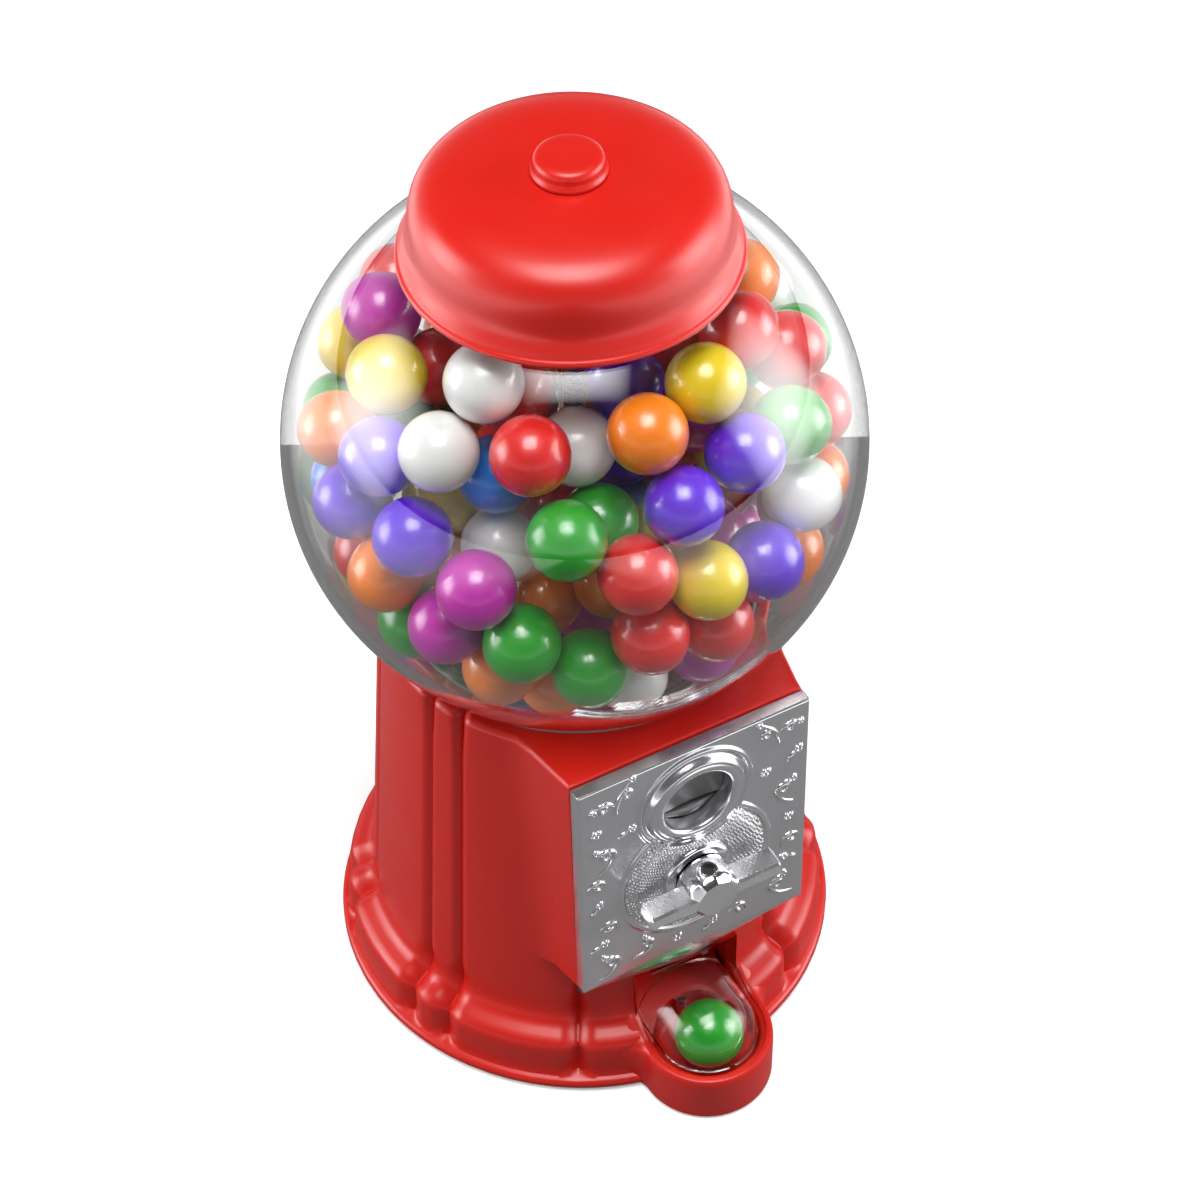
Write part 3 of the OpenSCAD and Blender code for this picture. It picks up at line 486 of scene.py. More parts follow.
# Section of the tray's lip: inset from the cup's outside, height against the rim
LIP = [(0.55, -0.12), (0.9, 0.0), (1.5, 0.0), (1.8, -0.12), (1.95, -0.5), (2.3, -0.62),
       (2.7, -0.8), (3.0, -1.2), (3.2, -1.9)]


def tray_inset(y, key, d):
    """Point at a distance inwards from the tray's outside, at one station."""
    if y is None:
        return (CUP_R - d) * math.cos(key), CUP_Y - (CUP_R - d) * math.sin(key)
    return key * (CUP_R - d), y


def make_tray(shell):
    """Adds the tray's outside, lip, pocket and trough floor to the casting's skin."""
    right, arc, left = tray_stations()
    columns = []
    for wall, y, key in right + arc + left:
        x0, y0 = wall
        col = [(x0, y0, 0.8), (x0, y0, 1.4), (x0, y0, 6), (x0, y0, 11.6)]
        if y is None:
            lift, floor = 0, CUP_WALL_Z
        else:
            lift, floor = rim_lift(y), ramp_z(y)
        first = tray_inset(y, key, LIP[0][0])
        for t, drop in ((0.12, 1.5), (0.3, 0.95), (0.6, 0.5)):
            px, py = x0 + (first[0] - x0) * t, y0 + (first[1] - y0) * t
            base = RIM_Z - drop
            col.append((px, py, base + (lift * t)))
        for d, h in LIP:
            px, py = tray_inset(y, key, d)
            col.append((px, py, RIM_Z + lift + h))
        px, py = tray_inset(y, key, CUP_R - CUP_BORE)
        col.append((px, py, min(floor, RIM_Z + lift - 2)))
        columns.append(col)
    shell.grid([[col[i] for col in columns] for i in range(len(columns[0]))])
    # Pocket that the gumball rests in
    steps = 96
    rows = []
    for r, z in ((CUP_BORE, None), (CUP_BORE, 9), (12.3, 7.6), (11.8, 6.2), (10.8, 5.5),
                 (8, CUP_FLOOR), (0, CUP_FLOOR)):
        row = []
        for i in range(steps):
            t = math.tau * i / steps
            x, y = r * math.cos(t), CUP_Y + r * math.sin(t)
            high = CUP_WALL_Z if y < CUP_Y else ramp_z(y)
            row.append((x, y, high if z is None else min(z, high - 0.1)))
        rows.append(row)
    shell.grid(rows, loop=True)
    # Trough floor behind the pocket
    rows = []
    for j in range(13):
        row = []
        for i in range(25):
            x = CUP_BORE * (i / 12 - 1)
            front = CUP_Y + math.sqrt(max(0, CUP_BORE ** 2 - x * x))
            y = front + (TROUGH_END_Y - front) * j / 12
            row.append((x, y, ramp_z(y)))
        rows.append(row)
    shell.grid(rows)
    return shell


body = make_tray(make_casting())
piece("body_shell", body, "machine", MATS["red_enamel"], ["body_casting"])


# ---------------------------------------------------------------- glass and seals

def globe_point(inset, t):
    """Point of the globe's section; its lower half is slightly flattened."""
    drop = GLOBE_R if t > 0 else GLOBE_DROP
    return ((GLOBE_R - inset) * math.cos(t), GLOBE_Z + (drop - inset) * math.sin(t))


def make_globe():
    """Glass wall with rounded lips at the mouth and at the fill opening."""
    low, high = -math.acos(MOUTH_R / GLOBE_R), math.acos(FILL_R / GLOBE_R)
    steps = 72
    turns = [low + (high - low) * i / steps for i in range(steps + 1)]
    outer = [globe_point(0, t) for t in turns]
    inner = [globe_point(GLOBE_WALL, t) for t in reversed(turns)]
    lip_low = globe_point(GLOBE_WALL / 2, low - 0.012)
    lip_high = globe_point(GLOBE_WALL / 2, high + 0.012)
    return Shell().lathe(outer + [lip_high] + inner + [lip_low, outer[0]], 180)


piece("globe_glass", make_globe(), "machine", MATS["glass"], ["globe"])

seal = [(41.15, 101), (41.15, 107.3), (41.05, 107.55), (40.85, 107.65), (40.4, 107.65),
        (40.2, 107.55), (40.1, 107.3), (40.1, 101), (41.15, 101)]
# Rubber lip under the glass's mouth; its black is painted shade for the gap between the glass and
# the collar
shaded_seal_lip = [(40.1, 101), (40.1, 107.0), (39.55, 107.05), (39.3, 106.95), (38.8, 106.55),
            (38.05, 105.95), (36.1, 104.4), (35.6, 102), (35.6, 101), (40.1, 101)]
piece("globe_seal", Shell().lathe(seal, 144), "machine", MATS["grey_seal"],
      ["globe_gasket"])
piece("shaded_seal_lip", Shell().lathe(shaded_seal_lip, 144), "machine", MATS["rubber"])


# ---------------------------------------------------------------- lid and knob

def make_lid():
    """Domed lid with a rolled rim; the dome is a rounded-square section."""
    outer = [(33.4, 206.0), (34.6, 206.1), (35.0, 206.4), (35.1, 206.85), (35.0, 207.3),
             (34.7, 207.6), (34.4, 207.75), (34.25, 208.0), (34.1, 208.5), (33.7, 209.3),
             (33.2, 210.2), (32.75, 211.2), (32.5, 212.3), (32.4, 213.4)]
    inner = []
    for i in range(37):
        t = math.radians(90 * i / 36)
        if t > 0.09:
            outer.append((32.4 * max(0, math.cos(t)) ** 0.36, 211.1 + 15.2 * math.sin(t) ** 0.6))
        inner.append((30.8 * max(0, math.cos(t)) ** 0.36, 210.8 + 13.9 * math.sin(t) ** 0.6))
    outer[-1] = (2.9, 226.3)
    inner[-1] = (2.9, 224.7)
    return outer + inner[::-1] + [(30.8, 209.2), (31.4, 206.8), (32.2, 206.1), (33.4, 206.0)]


piece("lid_dome", Shell().lathe(make_lid(), 180), "lid", MATS["red_enamel"], ["lid"])

knob = [(2.6, 226.35), (7.3, 226.35), (7.65, 226.5), (7.8, 226.85), (7.75, 227.2), (7.55, 227.5),
        (7.35, 227.8), (7.22, 228.3), (7.17, 228.9), (7.1, 229.4), (6.9, 229.85), (6.55, 230.2),
        (6.05, 230.45), (5.3, 230.58), (4, 230.62), (2, 230.6), (0, 230.58)]
piece("knob_cap", Shell().lathe(knob, 96), "knob", MATS["red_enamel"], ["lid_knob"])


# ---------------------------------------------------------------- gumballs

def ball_centres(node):
    """Centres, in millimetres, of the separate balls in a CAD node."""
    bm = bmesh.new()
    bm.from_mesh(frame["nodes"][node].data)
    bmesh.ops.remove_doubles(bm, verts=bm.verts, dist=0.01 * MM)
    bm.verts.index_update()
    centres, seen = [], set()
    for start in bm.verts:
        if start.index in seen:
            continue
        seen.add(start.index)
        stack, low, high = [start], start.co.copy(), start.co.copy()
        while stack:
            vert = stack.pop()
            low = Vector(map(min, low, vert.co))
            high = Vector(map(max, high, vert.co))
            for edge in vert.link_edges:
                other = edge.other_vert(vert)
                if other.index not in seen:
                    seen.add(other.index)
                    stack.append(other)
        centres.append(tuple((low + high) / 2 / MM))
    bm.free()
    return centres


def make_balls(centres, seed):
    """Gumballs with a faint lumpiness, as a panned sugar shell has."""
    rng = random.Random(seed)
    shell = Shell()
    for cx, cy, cz in centres:
        lump = [rng.uniform(-0.03, 0.0) for _ in range(3)]
        phase = rng.uniform(0, math.tau)
        rows = []
        for i in range(25):
            lat = math.pi * (i / 24 - 0.5)
            row = []
            for j in range(48):
                lon = math.tau * j / 48
                r = BALL_R * (1 + 0.1 * lump[0] * math.sin(2 * lon + phase) * math.cos(lat)
                              + 0.1 * lump[1] * math.sin(3 * lat + phase)) - 0.03
                row.append((cx + r * math.cos(lat) * math.cos(lon),
                            cy + r * math.cos(lat) * math.sin(lon), cz + r * math.sin(lat)))
            rows.append(row)
        shell.grid(rows, loop=True)
    return shell


for index, tint in enumerate(GUM_COLOURS):
    node = "gumballs_" + tint
    piece("balls_" + tint, make_balls(ball_centres(node), 40 + index), "machine",
          MATS["gum_" + tint], [node])
for label, node, ride_on in (("tray_ball", "tray_gumball", "machine"),
                             ("pocket_balls", "pocket_gumballs", "wheel_set")):
    piece(label, make_balls(ball_centres(node), 60), ride_on, MATS[SLOT_OF[node]],
          [node])


# ---------------------------------------------------------------- coin front

def relief(x, w):
    """Height of the plate's raised keyhole at a point of its face."""
    p1, p2 = math.hypot(x, w - COIN_W), math.hypot(x, w)
    base = 0.75 * max(ease((14.9 - p1) / 0.9), ease((19.9 - p2) / 0.9))
    inner = max(13.5 - p1, 18.3 - p2)
    channel = 0.45 * ease(inner / 0.5) * ease((1.6 - inner) / 0.5)
    ring = 2.0 * ease((13.0 - p1) / 1.7)
    waist = 1.95 * ease((25.5 - p1) / 13) * ease((11.5 - abs(x)) / 4) * ease((18.3 - p2) / 3)
    lobes = 1.25 * ease((17.2 - p2) / 2.2) * ease((p2 - 6) / 8)
    height = soft_max(soft_max(base - channel, ring, 0.3), soft_max(waist, lobes, 0.5), 0.4)
    if p1 > 12.9 and 8.9 < p2 < 17.6:
        height += dimple(p1, x, w)
    return height


def dimple(p1, x, w):
    """Rows of fine bumps on arcs round the coin opening."""
    pitch = 0.84
    row = round((p1 - 13.2) / pitch)
    radius = 13.2 + row * pitch
    count = round(math.tau * radius / pitch)
    turn = math.atan2(x, w - COIN_W) / math.tau * count + (row % 2) * 0.5
    off = math.hypot(p1 - radius, (turn - round(turn)) * math.tau * radius / count)
    return 0.34 * max(0, 1 - (off / 0.38) ** 2)


def edge_steps(limit, fine, sign):
    """Grid lines from the plate's edge inwards, with how far each sits below the face."""
    lines = [(limit, PLATE_T), (limit, 0.5), (limit - 0.08, 0.22), (limit - 0.3, 0.06),
             (limit - 0.65, 0)]
    x = limit - 1.4
    while x > fine:
        lines.append((x, 0))
        x -= 1.2
    return [(sign * v, d) for v, d in lines]


def plate_lines(low, high, fine_low, fine_high, step=0.205):
    """Grid lines across the plate: fine over the keyhole, coarse beside it, dense at the edges."""
    lines = edge_steps(-low, -fine_low, -1)
    count = round((fine_high - fine_low) / step)
    lines += [(fine_low + (fine_high - fine_low) * i / count, 0) for i in range(count + 1)]
    return lines + edge_steps(high, fine_high, 1)[::-1]


def make_plate():
    """Face of the plate with its relief, the coin opening's bead and the apron."""
    shell = Shell()
    across = plate_lines(-PLATE_HW, PLATE_HW, -20.4, 20.4)
    upward = plate_lines(PLATE_BOTTOM, PLATE_TOP, -20.4, 38.3)
    rows = [[on_plate(x, relief(x, w) - max(dx, dw), w) for x, dx in across] for w, dw in upward]
    shell.grid(rows)
    hole = on_plate(0, 0, COIN_W)[2]
    shell.drop(lambda x, y, z: math.hypot(x, z - hole) < 9.4 or math.hypot(x, z - HUB_Z) < 7.4)
    # Rolled edge and wall of the coin opening
    bead = [(10.9, 1.9), (10.5, 2.1), (9.9, 2.22), (9.3, 2.2), (8.8, 2.0), (8.5, 1.6),
            (COIN_R, 1.0), (COIN_R, -2.25)]
    shell.lathe(bead, 96, lambda x, y, z: on_plate(x, z, COIN_W + y))
    # Apron under the plate with a bowed lower edge
    columns = []
    for i in range(61):
        x = PLATE_HW * (i / 30 - 1) * 0.998
        deep = 2.2 + 5.9 * (1 - abs(x / PLATE_HW) ** 1.3)
        col = [on_plate(x, -0.25 - 2.3 * t * t, PLATE_BOTTOM + 0.1 - deep * t)
               for t in (j / 10 for j in range(11))]
        col += [on_plate(x, -2.75, PLATE_BOTTOM - deep - 0.12),
                on_plate(x, -3.1, PLATE_BOTTOM - deep), on_plate(x, -3.1, PLATE_BOTTOM)]
        columns.append(col)
    shell.grid([[col[i] for col in columns] for i in range(len(columns[0]))])
    return shell


def ribbon(shell, path, sizes, height=1.0):
    """Raised half-round wire along a path of plate points, with a radius at each."""
    rows = []
    n = len(path)
    for i, (x, w) in enumerate(path):
        x0, w0 = path[max(0, i - 1)]
        x1, w1 = path[min(n - 1, i + 1)]
        run = math.hypot(x1 - x0, w1 - w0) or 1
        nx, nw = -(w1 - w0) / run, (x1 - x0) / run
        r = sizes(i / (n - 1))
        rows.append([on_plate(x + nx * r * math.cos(t), -0.05 + height * r * 1.3 * math.sin(t),
                              w + nw * r * math.cos(t))
                     for t in (math.pi * j / 6 for j in range(7))])
    shell.grid(rows)


def curl(cx, cw, r0, r1, a0, turn, n=26):
    """Spiral from radius r0 to r1 round a centre; angles in degrees."""
    return [(cx + (r0 + (r1 - r0) * t) * math.cos(math.radians(a0 + turn * t)),
             cw + (r0 + (r1 - r0) * t) * math.sin(math.radians(a0 + turn * t)))
            for t in (i / n for i in range(n + 1))]


def bow(p, q, r, n=14):
    """Bent line from p to r pulled towards q."""
    return [((1 - t) ** 2 * p[0] + 2 * t * (1 - t) * q[0] + t * t * r[0],
             (1 - t) ** 2 * p[1] + 2 * t * (1 - t) * q[1] + t * t * r[1])
            for t in (i / n for i in range(n + 1))]


def stem_size(t):
    """Radius along a stem, thickest near its middle."""
    return 0.24 + 0.38 * math.sin(math.pi * min(1, 0.12 + t * 0.85))


def leaf_size(t):
    """Radius along a leaf or petal, pointed at both ends."""
    return 0.12 + 0.6 * math.sin(math.pi * t) ** 0.8


class Motif:
    """Places strokes of one ornament at a spot of the plate, turned and mirrored."""

    def __init__(self, shell, x, w, scale=1, turn=0, flip=1):
        self.shell, self.x, self.w, self.scale, self.flip = shell, x, w, scale, flip
        self.cos, self.sin = math.cos(math.radians(turn)), math.sin(math.radians(turn))

    def put(self, path, sizes):
        placed = []
        for a, b in path:
            a, b = a * self.scale * self.flip, b * self.scale
            placed.append((self.x + a * self.cos - b * self.sin,
                           self.w + a * self.sin + b * self.cos))
        ribbon(self.shell, placed, sizes)

    def blossom(self, a, b, turn=20, size=1.15):
        for k in range(4):
            t = math.radians(turn + 90 * k)
            reach = size * (1.25 if k == 0 else 0.9)
            self.put([(a + u * reach * math.cos(t), b + u * reach * math.sin(t))
                      for u in (i / 8 for i in range(9))], leaf_size)

    def spray(self):
        self.put(bow((-0.5, -5.4), (-0.6, -2), (1.2, 0.6))
                 + bow((1.2, 0.6), (2.4, 2.4), (4.4, 4.2))[1:], stem_size)
        self.blossom(5.0, 4.8, 35)
        self.put(bow((0.2, -1.6), (1.2, 1.6), (3.2, 1.5)) + curl(3.2, 0.1, 1.4, 0.5, 90, -380)[1:],
                 stem_size)
        self.put(bow((-0.4, -2.6), (-1, 0.2), (-3.4, 0.4))
                 + curl(-3.4, -1.1, 1.5, 0.5, 90, 360)[1:], stem_size)
        self.put(bow((-3.2, 0.5), (-4.6, 0.7), (-5.8, -0.4)), stem_size)
        self.blossom(-6.4, -0.6, 160)

    def sprig(self):
        self.put(bow((-2, -1.9), (-1.4, -0.5), (0.2, 0)), stem_size)
        self.blossom(0.9, 0.5, 40, 1.3)

    def star(self):
        self.blossom(0, 0, 25, 1.5)

    def hook(self):
        self.put(bow((-1.6, -5), (1.8, -3), (2.0, 0.2)) + curl(0.2, 0.2, 1.8, 0.5, 0, 400)[1:],
                 stem_size)
        self.put(bow((-2.6, 1.2), (-1.2, 2.4), (0.6, 1.9)), leaf_size)
        self.blossom(-2.4, 2.2, 120, 1.0)

    def comma(self):
        self.put(bow((-2, 0.2), (-0.2, 1.8), (1.4, 0.4))
                 + bow((1.4, 0.4), (2.2, -1), (1.6, -2.8))[1:], stem_size)
        self.put(bow((-1.6, -1.6), (-0.4, -0.6), (1.2, -1.0)), leaf_size)


def make_ornaments(shell):
    """Strokes round the plate's border, each kind placed about where the photo has an ornament."""
    for x, w, scale, turn, flip, kind in (
            (-19.4, 34.0, 0.88, 6, 1, "spray"), (-24.6, 25.4, 1.0, 0, 1, "star"),
            (-16.8, 22.2, 1.0, -10, 1, "sprig"), (-22.0, 16.6, 1.05, -4, 1, "hook"),
            (-24.2, 8.2, 1.05, -30, -1, "comma"), (-24.8, 0.4, 1.0, 20, 1, "sprig"),
            (-21.8, -7.4, 1.05, 10, 1, "comma"), (-24.2, -13.2, 1.0, -10, 1, "sprig"),
            (-21.6, -20.8, 1.05, -15, 1, "hook"), (-12.4, -19.8, 0.9, -35, 1, "hook"),
            (-4.8, -22.2, 1.0, 15, 1, "star"), (4.0, -22.4, 1.0, 10, 1, "sprig"),
            (12.0, -21.4, 1.0, -50, -1, "comma"), (22.0, -19.4, 1.05, 25, -1, "hook"),
            (24.2, -10.6, 1.0, 10, -1, "sprig"), (24.8, -4.2, 1.05, -10, -1, "comma"),
            (23.8, 3.2, 1.0, 0, 1, "star"), (22.8, 13.2, 1.05, 6, -1, "hook"),
            (17.6, 21.6, 1.0, 0, 1, "star"), (25.2, 24.4, 1.0, 8, 1, "sprig"),
            (20.6, 34.0, 0.86, 4, -1, "spray")):
        getattr(Motif(shell, x, w, scale, turn, flip), kind)()
    return shell


piece("plate_face", make_ornaments(make_plate()), "machine", MATS["dark_chrome"],
      ["front_plate"], sharp=50)

collar = [(5.4, 0.2), (8.6, 0.2), (8.6, 0.9), (8.4, 1.3), (8.35, 1.9), (8.1, 2.25), (7.6, 2.4),
          (6.6, 2.4), (3.1, 2.4), (3.1, -2.8), (4.9, -3.6), (4.9, 0.2), (5.4, 0.2)]
piece("shaft_collar", Shell().lathe(collar, 96, lambda x, y, z: on_plate(x, z, y)), "machine",
      MATS["chrome"], ["shaft_bushing"])


def make_coin_stop():
    """Dished stop behind the coin opening: a flat back, a slit, and a curved tongue below."""
    rows = []
    for w, out in ((8.35, -1.9), (7, -1.95), (5, -2.05), (2, -2.2), (-1, -2.3), (-3.4, -2.35),
                   (-3.9, -2.4), (-4.05, -2.6), (-4.1, -3.3), (-4.75, -3.3), (-4.8, -2.2),
                   (-4.95, -1.75), (-5.4, -1.45), (-6.2, -1.4), (-7.2, -1.65), (-8.3, -2.2)):
        half = math.sqrt(max(0.01, (COIN_R - 0.04) ** 2 - w * w))
        row = []
        for i in range(33):
            u = i / 16 - 1
            dish = 0.5 * u * u if w > -4 else -0.9 * u * u
            row.append(on_plate(half * u, out + (dish if out > -4 else 0), COIN_W + w))
        rows.append(row)
    return Shell().grid(rows)


piece("coin_stop", make_coin_stop(), "machine", MATS["stop_metal"], ["coin_cup"])


# ---------------------------------------------------------------- handle

WING_IN, WING_OUT, WING_LOW, WING_HIGH, WING_HALF = 4.0, 17.0, 4.2, 10.2, 1.9


def wing_section(squeeze):
    """Loop round a wing's section as (up, out), with a bevel on every corner."""
    half, low, high = WING_HALF - squeeze, WING_LOW + squeeze, WING_HIGH - squeeze
    bevel = 0.55
    loop = [(half, low + bevel)]
    steps = 16
    loop += [(half, low + bevel + (high - low - 2 * bevel) * i / steps)
             for i in range(1, steps + 1)]
    loop += [(half - bevel, high), (-half + bevel, high)]
    loop += [(-half, high - bevel), (-half, low + bevel), (-half + bevel, low), (half - bevel, low)]
    return loop


def make_handle():
    """Two flat wings with bevelled edges and dotted tops."""
    shell = Shell()
    for side in (-1, 1):
        stations = [(WING_IN + (WING_OUT - 1.3 - WING_IN) * i / 60, 0) for i in range(61)]
        stations += [(WING_OUT - 0.9, 0.05), (WING_OUT - 0.35, 0.5), (WING_OUT, 1.15)]
        rows = []
        for x, squeeze in stations:
            row = []
            for k, (w, out) in enumerate(wing_section(squeeze)):
                # Fine raised dots on the top face
                if 1 < k < 16 and 6.8 < x < 15.2:
                    u, v = x / 0.62, out / 0.62
                    w += 0.07 * max(0, math.cos(math.tau * u / 2) * math.cos(math.tau * v / 2))
                row.append(on_plate(side * x, out, w))
            rows.append(row)
        rows.append([on_plate(side * WING_OUT, 7.2, 0)] * len(rows[0]))
        shell.grid(rows, loop=True)
    return shell


def make_hub():
    """Hub with a faceted, flat-fronted nose."""
    facets = 10
    shell = Shell()
    profile = [(3.1, 2.7), (5.9, 2.7), (6.2, 3.0), (6.2, 8.3)]
    shell.lathe(profile, 80, lambda x, y, z: on_plate(x, z, y))
    rows = []
    for r, out, square in ((6.2, 8.3, 0), (6.12, 8.7, 0.5), (5.95, 9.4, 1), (4.95, 10.55, 1),
                           (4.75, 10.6, 1), (2.4, 10.6, 1), (0, 10.6, 1)):
        row = []
        for i in range(80):
            t = math.tau * i / 80
            cell = math.tau / facets
            off = (t + cell / 2) % cell - cell / 2
            flat = math.cos(cell / 2) / math.cos(off)
            rr = r * (1 - square + square * flat * 1.02)
            row.append(on_plate(rr * math.cos(t), out, rr * math.sin(t)))
        rows.append(row)
    shell.grid(rows, loop=True)
    shell.lathe([(3.1, 2.7), (3.1, 8.8), (0, 8.8)], 48, lambda x, y, z: on_plate(x, z, y))
    return shell


def bored(obj, place, radius, length, turn):
    """Cuts a round hole through a piece; place is its middle, turn points it."""
    bm = bmesh.new()
    bmesh.ops.create_cone(bm, cap_ends=True, segments=40, radius1=radius * MM,
                          radius2=radius * MM, depth=length * MM)
    data = bpy.data.meshes.new("cutter")
    bm.to_mesh(data)
    bm.free()
    cutter = bpy.data.objects.new("cutter", data)
    bpy.context.scene.collection.objects.link(cutter)
    cutter.matrix_world = Matrix.Translation(Vector(place) * MM) @ turn
    mod = obj.modifiers.new("bore", "BOOLEAN")
    mod.operation, mod.solver, mod.object = "DIFFERENCE", "EXACT", cutter
    bpy.context.view_layer.update()
    made = bpy.data.meshes.new_from_object(obj.evaluated_get(bpy.context.evaluated_depsgraph_get()))
    obj.modifiers.clear()
    obj.data = made
    bpy.data.objects.remove(cutter)


piece("handle_wings", make_handle(), "handle_set", MATS["wing_chrome"], ["handle"],
      sharp=28)
hub = piece("handle_hub", make_hub(), "handle_set", MATS["chrome"], [], sharp=24)
bored(hub, on_plate(0, 6.4, 6.3), 1.9, 5.4, Matrix.Rotation(-LEAN, 4, "X"))


# ---------------------------------------------------------------- hood

HOOD_R, HOOD_WALL, HOOD_Z, HOOD_CUT = 12.0, 0.8, 13.2, 13.25
HOOD_BACK_Y = -47.4
HINGE_Y, HINGE_Z, HINGE_HALF = -45, 25.4, 8


def hood_rows(r):
    """Half-round hood with a ball nose, as arcs from one lower edge to the other."""
    rows = []
    stations = [(HOOD_BACK_Y + (CUP_Y - HOOD_BACK_Y) * i / 10, r) for i in range(11)]
    stations += [(CUP_Y - r * math.sin(t), r * math.cos(t))
                 for t in (math.pi / 2 * i / 24 for i in range(1, 25))]
    for y, size in stations:
        low = math.asin(min(1, (HOOD_CUT - HOOD_Z) / max(size, HOOD_CUT - HOOD_Z)))
        rows.append([(size * math.cos(t), y, HOOD_Z + size * math.sin(t))
                     for t in (low + (math.pi - 2 * low) * j / 40 for j in range(41))])
    return [row for row in rows if row[20][2] > HOOD_CUT + 0.02]


def make_hood():
    """Clear hood as an outer and an inner skin joined at the edges, with its hinge barrel."""
    shell = Shell()
    outer, inner = hood_rows(HOOD_R), hood_rows(HOOD_R - HOOD_WALL)
    shell.grid(outer)
    shell.grid(inner)
    shell.grid([outer[0], inner[0]])
    count = min(len(outer), len(inner))
    for side in (0, -1):
        shell.grid([[row[side] for row in outer[:count]], [row[side] for row in inner[:count]]])
    # Hinge barrel across the hood's back edge
    end, bevel = HINGE_HALF, 0.15
    barrel = [(0.9, -end), (1.55, -end), (1.7, bevel - end), (1.7, end - bevel), (1.55, end),
              (0.9, end), (0.9, -end)]
    return shell.lathe(barrel, 40, lambda x, y, z: (z, HINGE_Y + x, HINGE_Z + y))


piece("tray_hood", make_hood(), "flap", MATS["clear_plastic"], ["tray_flap"])


# ---------------------------------------------------------------- studio

def world_light():
    """White room with a darker lower half, as the polished parts mirror it."""
    world = bpy.data.worlds.new("studio")
    world.use_nodes = True
    nodes, links = world.node_tree.nodes, world.node_tree.links
    coord = nodes.new("ShaderNodeTexCoord")
    split = nodes.new("ShaderNodeSeparateXYZ")
    ramp = nodes.new("ShaderNodeValToRGB")
    stops = ((0.0, 0.12), (0.495, 0.12), (0.505, 0.8), (0.6, 0.6), (0.7, 0.1), (0.9, 0.08),
             (1.0, 0.3))
    ramp.color_ramp.elements.remove(ramp.color_ramp.elements[1])
    for at, level in stops:
        element = ramp.color_ramp.elements.new(at)
        element.color = (level, level, level * 1.01, 1)
    ramp.color_ramp.elements.remove(ramp.color_ramp.elements[0])
    half = nodes.new("ShaderNodeMath")
    half.operation = "MULTIPLY_ADD"
    half.inputs[1].default_value = 0.5
    half.inputs[2].default_value = 0.5
    links.new(coord.outputs["Generated"], split.inputs[0])
    links.new(split.outputs["Z"], half.inputs[0])
    links.new(half.outputs[0], ramp.inputs["Fac"])
    path = nodes.new("ShaderNodeLightPath")
    mix = nodes.new("ShaderNodeMix")
    mix.data_type = "RGBA"
    mix.inputs["B"].default_value = (1, 1, 1, 1)
    links.new(path.outputs["Is Camera Ray"], mix.inputs["Factor"])
    links.new(ramp.outputs["Color"], mix.inputs["A"])
    links.new(mix.outputs["Result"], nodes["Background"].inputs["Color"])
    bpy.context.scene.world = world


def soft_box(name, place, target, size, watts):
    """Square light that fades towards its edges, as a diffused box does."""
    data = bpy.data.lights.new(name, "AREA")
    data.shape, data.size, data.energy = "SQUARE", size, watts
    data.use_nodes = True
    nodes, links = data.node_tree.nodes, data.node_tree.links
    geometry = nodes.new("ShaderNodeNewGeometry")
    split = nodes.new("ShaderNodeSeparateXYZ")
    links.new(geometry.outputs["Parametric"], split.inputs[0])
    humps = []
    for axis in ("X", "Y"):
        rest = nodes.new("ShaderNodeMath")
        rest.operation = "SUBTRACT"
        rest.inputs[0].default_value = 1
        links.new(split.outputs[axis], rest.inputs[1])
        hump = nodes.new("ShaderNodeMath")
        hump.operation = "MULTIPLY"
        links.new(split.outputs[axis], hump.inputs[0])
        links.new(rest.outputs[0], hump.inputs[1])
        humps.append(hump)
    fall = nodes.new("ShaderNodeMath")
    fall.operation = "MULTIPLY"
    links.new(humps[0].outputs[0], fall.inputs[0])
    links.new(humps[1].outputs[0], fall.inputs[1])
    level = nodes.new("ShaderNodeMath")
    level.operation = "MULTIPLY"
    level.inputs[1].default_value = 36
    links.new(fall.outputs[0], level.inputs[0])
    links.new(level.outputs[0], nodes["Emission"].inputs["Strength"])
    light = bpy.data.objects.new(name, data)
    light.location = place
    light.rotation_mode = "QUATERNION"
    light.rotation_quaternion = (Vector(target) - Vector(place)).to_track_quat("-Z", "Y")
    bpy.context.scene.collection.objects.link(light)


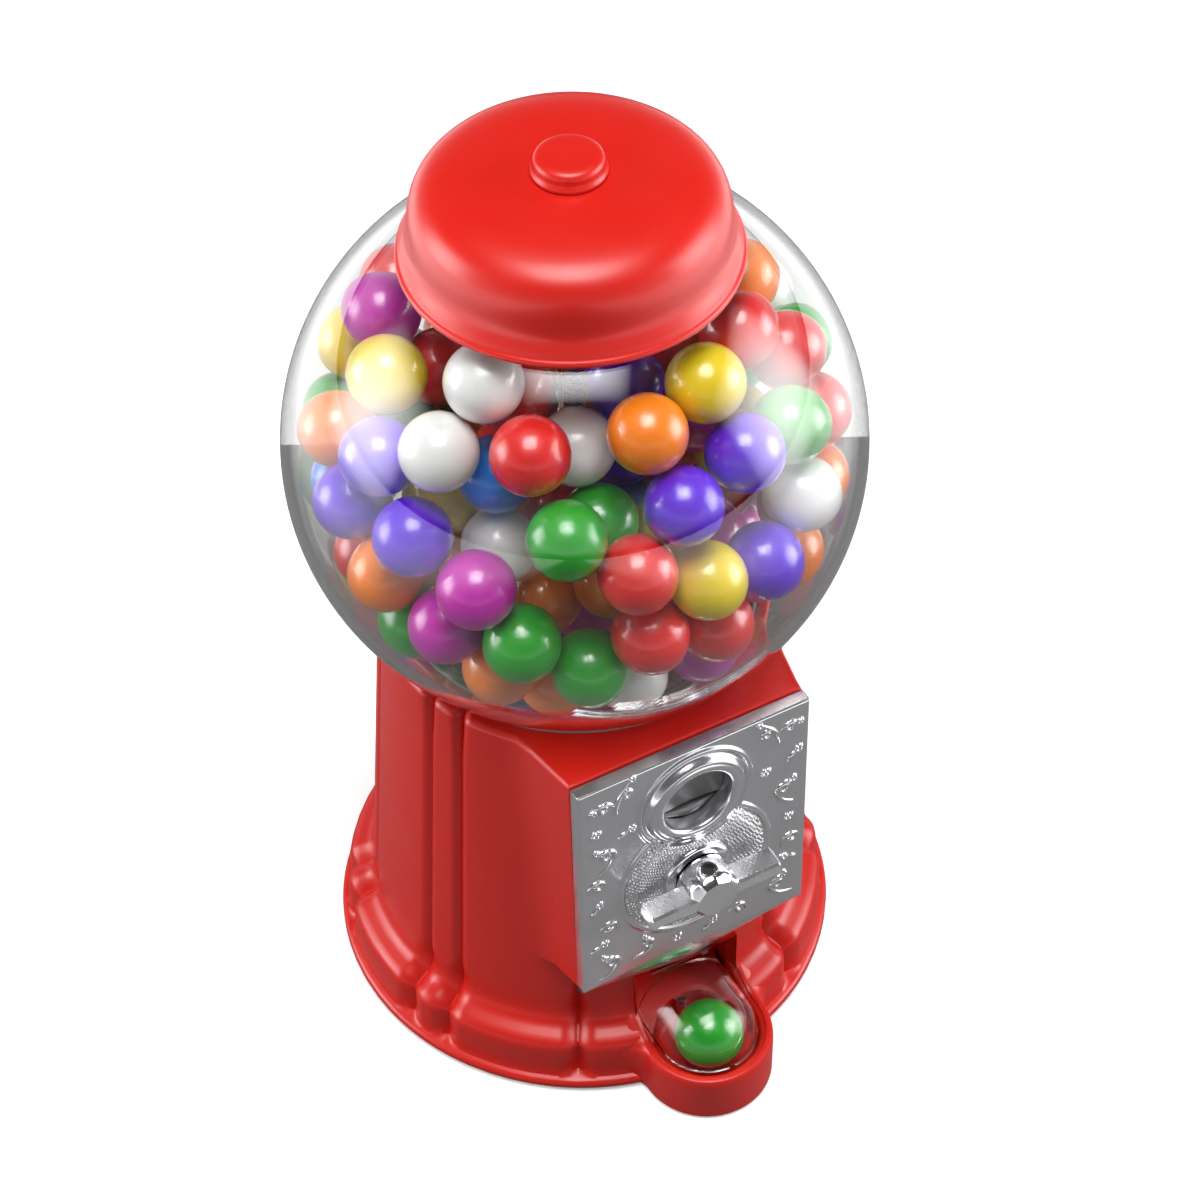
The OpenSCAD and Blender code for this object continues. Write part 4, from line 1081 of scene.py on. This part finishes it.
def make_floor():
    """Pale floor with painted reflections and shade: polished parts see it grey, glass sees it dark
    near the machine, bounced light sees it dark.
    """
    shell = Shell().lathe([(0, 0), (100, 0), (400, 0), (1500, 0), (6000, 0)], 64)
    data = bpy.data.meshes.new("floor")
    data.from_pydata([(x * MM, y * MM, z * MM - FLOOR_GAP) for x, y, z in shell.verts], [],
                     shell.faces)
    mat, nodes, links, bsdf = node_material("pale_floor")
    coord = nodes.new("ShaderNodeTexCoord")
    far = nodes.new("ShaderNodeVectorMath")
    far.operation = "DOT_PRODUCT"
    far.inputs[1].default_value = AWAY
    links.new(coord.outputs["Object"], far.inputs[0])
    edge = nodes.new("ShaderNodeMath")
    edge.operation = "GREATER_THAN"
    edge.inputs[1].default_value = 0.16
    links.new(far.outputs["Value"], edge.inputs[0])
    path = nodes.new("ShaderNodeLightPath")

    def choose(factor, low, high):
        mix = nodes.new("ShaderNodeMix")
        mix.data_type = "RGBA"
        links.new(factor, mix.inputs["Factor"])
        for key, value in (("A", low), ("B", high)):
            if isinstance(value, float):
                mix.inputs[key].default_value = (value, value, value, 1)
            else:
                links.new(value, mix.inputs[key])
        return mix.outputs["Result"]

    # Painted shade: dark near the machine through glass, grey in reflections, dark for bounced
    # light; pale to the camera
    through = choose(edge.outputs[0], 0.12, 0.7)
    painted_ray_tone = choose(path.outputs["Is Glossy Ray"], through, 0.22)
    painted_ray_tone = choose(path.outputs["Is Transmission Ray"], painted_ray_tone, through)
    painted_ray_tone = choose(path.outputs["Is Diffuse Ray"], painted_ray_tone, 0.12)
    links.new(choose(path.outputs["Is Camera Ray"], painted_ray_tone, 0.9), bsdf.inputs["Base Color"])
    # Painted reflections of white cards either side: the floor glows with them only for glossy rays
    aside = nodes.new("ShaderNodeVectorMath")
    aside.operation = "DOT_PRODUCT"
    aside.inputs[1].default_value = ASIDE
    links.new(coord.outputs["Object"], aside.inputs[0])
    reach = nodes.new("ShaderNodeMath")
    reach.operation = "ABSOLUTE"
    links.new(aside.outputs["Value"], reach.inputs[0])
    painted_card_glow = nodes.new("ShaderNodeMapRange")
    painted_card_glow.interpolation_type = "SMOOTHSTEP"
    painted_card_glow.inputs["From Min"].default_value = 0.2
    painted_card_glow.inputs["From Max"].default_value = 0.42
    painted_card_glow.inputs["To Max"].default_value = 2.6
    links.new(reach.outputs[0], painted_card_glow.inputs["Value"])
    mirrored = choose(path.outputs["Is Glossy Ray"], 0.0, painted_card_glow.outputs["Result"])
    mirrored = choose(path.outputs["Is Transmission Ray"], mirrored, 0.0)
    # The pale sweep keeps its brightness away from the lights
    away = nodes.new("ShaderNodeVectorMath")
    away.operation = "LENGTH"
    links.new(coord.outputs["Object"], away.inputs[0])
    sweep = nodes.new("ShaderNodeMapRange")
    sweep.inputs["From Min"].default_value = 0.3
    sweep.inputs["From Max"].default_value = 1.4
    sweep.inputs["To Min"].default_value = 0.32
    links.new(away.outputs["Value"], sweep.inputs["Value"])
    links.new(choose(path.outputs["Is Camera Ray"], mirrored, sweep.outputs["Result"]),
              bsdf.inputs["Emission Color"])
    bsdf.inputs["Emission Strength"].default_value = 1
    bsdf.inputs["Roughness"].default_value = 0.9
    bsdf.inputs["Specular IOR Level"].default_value = 0.1
    data.materials.append(mat)
    floor = bpy.data.objects.new("floor", data)
    bpy.context.scene.collection.objects.link(floor)


world_light()
make_floor()
soft_box("left_box", (-0.8, 0.44, 0.34), (0, 0, 0.13), 0.75, 6.5)
soft_box("right_box", (0.82, -0.4, 0.36), (0, 0, 0.13), 0.8, 7.5)
soft_box("top_box", (-0.1, -0.2, 1.25), (0, 0, 0.15), 0.85, 13.5)

camera_data = bpy.data.cameras.new("camera")
camera_data.sensor_width, camera_data.lens = SENSOR, LENS
camera_data.clip_start, camera_data.clip_end = 0.05, 50
camera = bpy.data.objects.new("camera", camera_data)
turned = Euler([math.radians(angle) for angle in CAMERA_TURNS]).to_matrix().to_4x4()
camera.matrix_world = Matrix.Translation(Vector(CAMERA_PLACE) * MM) @ turned
bpy.context.scene.collection.objects.link(camera)
bpy.context.scene.camera = camera
bpy.context.scene.view_settings.view_transform = "Standard"
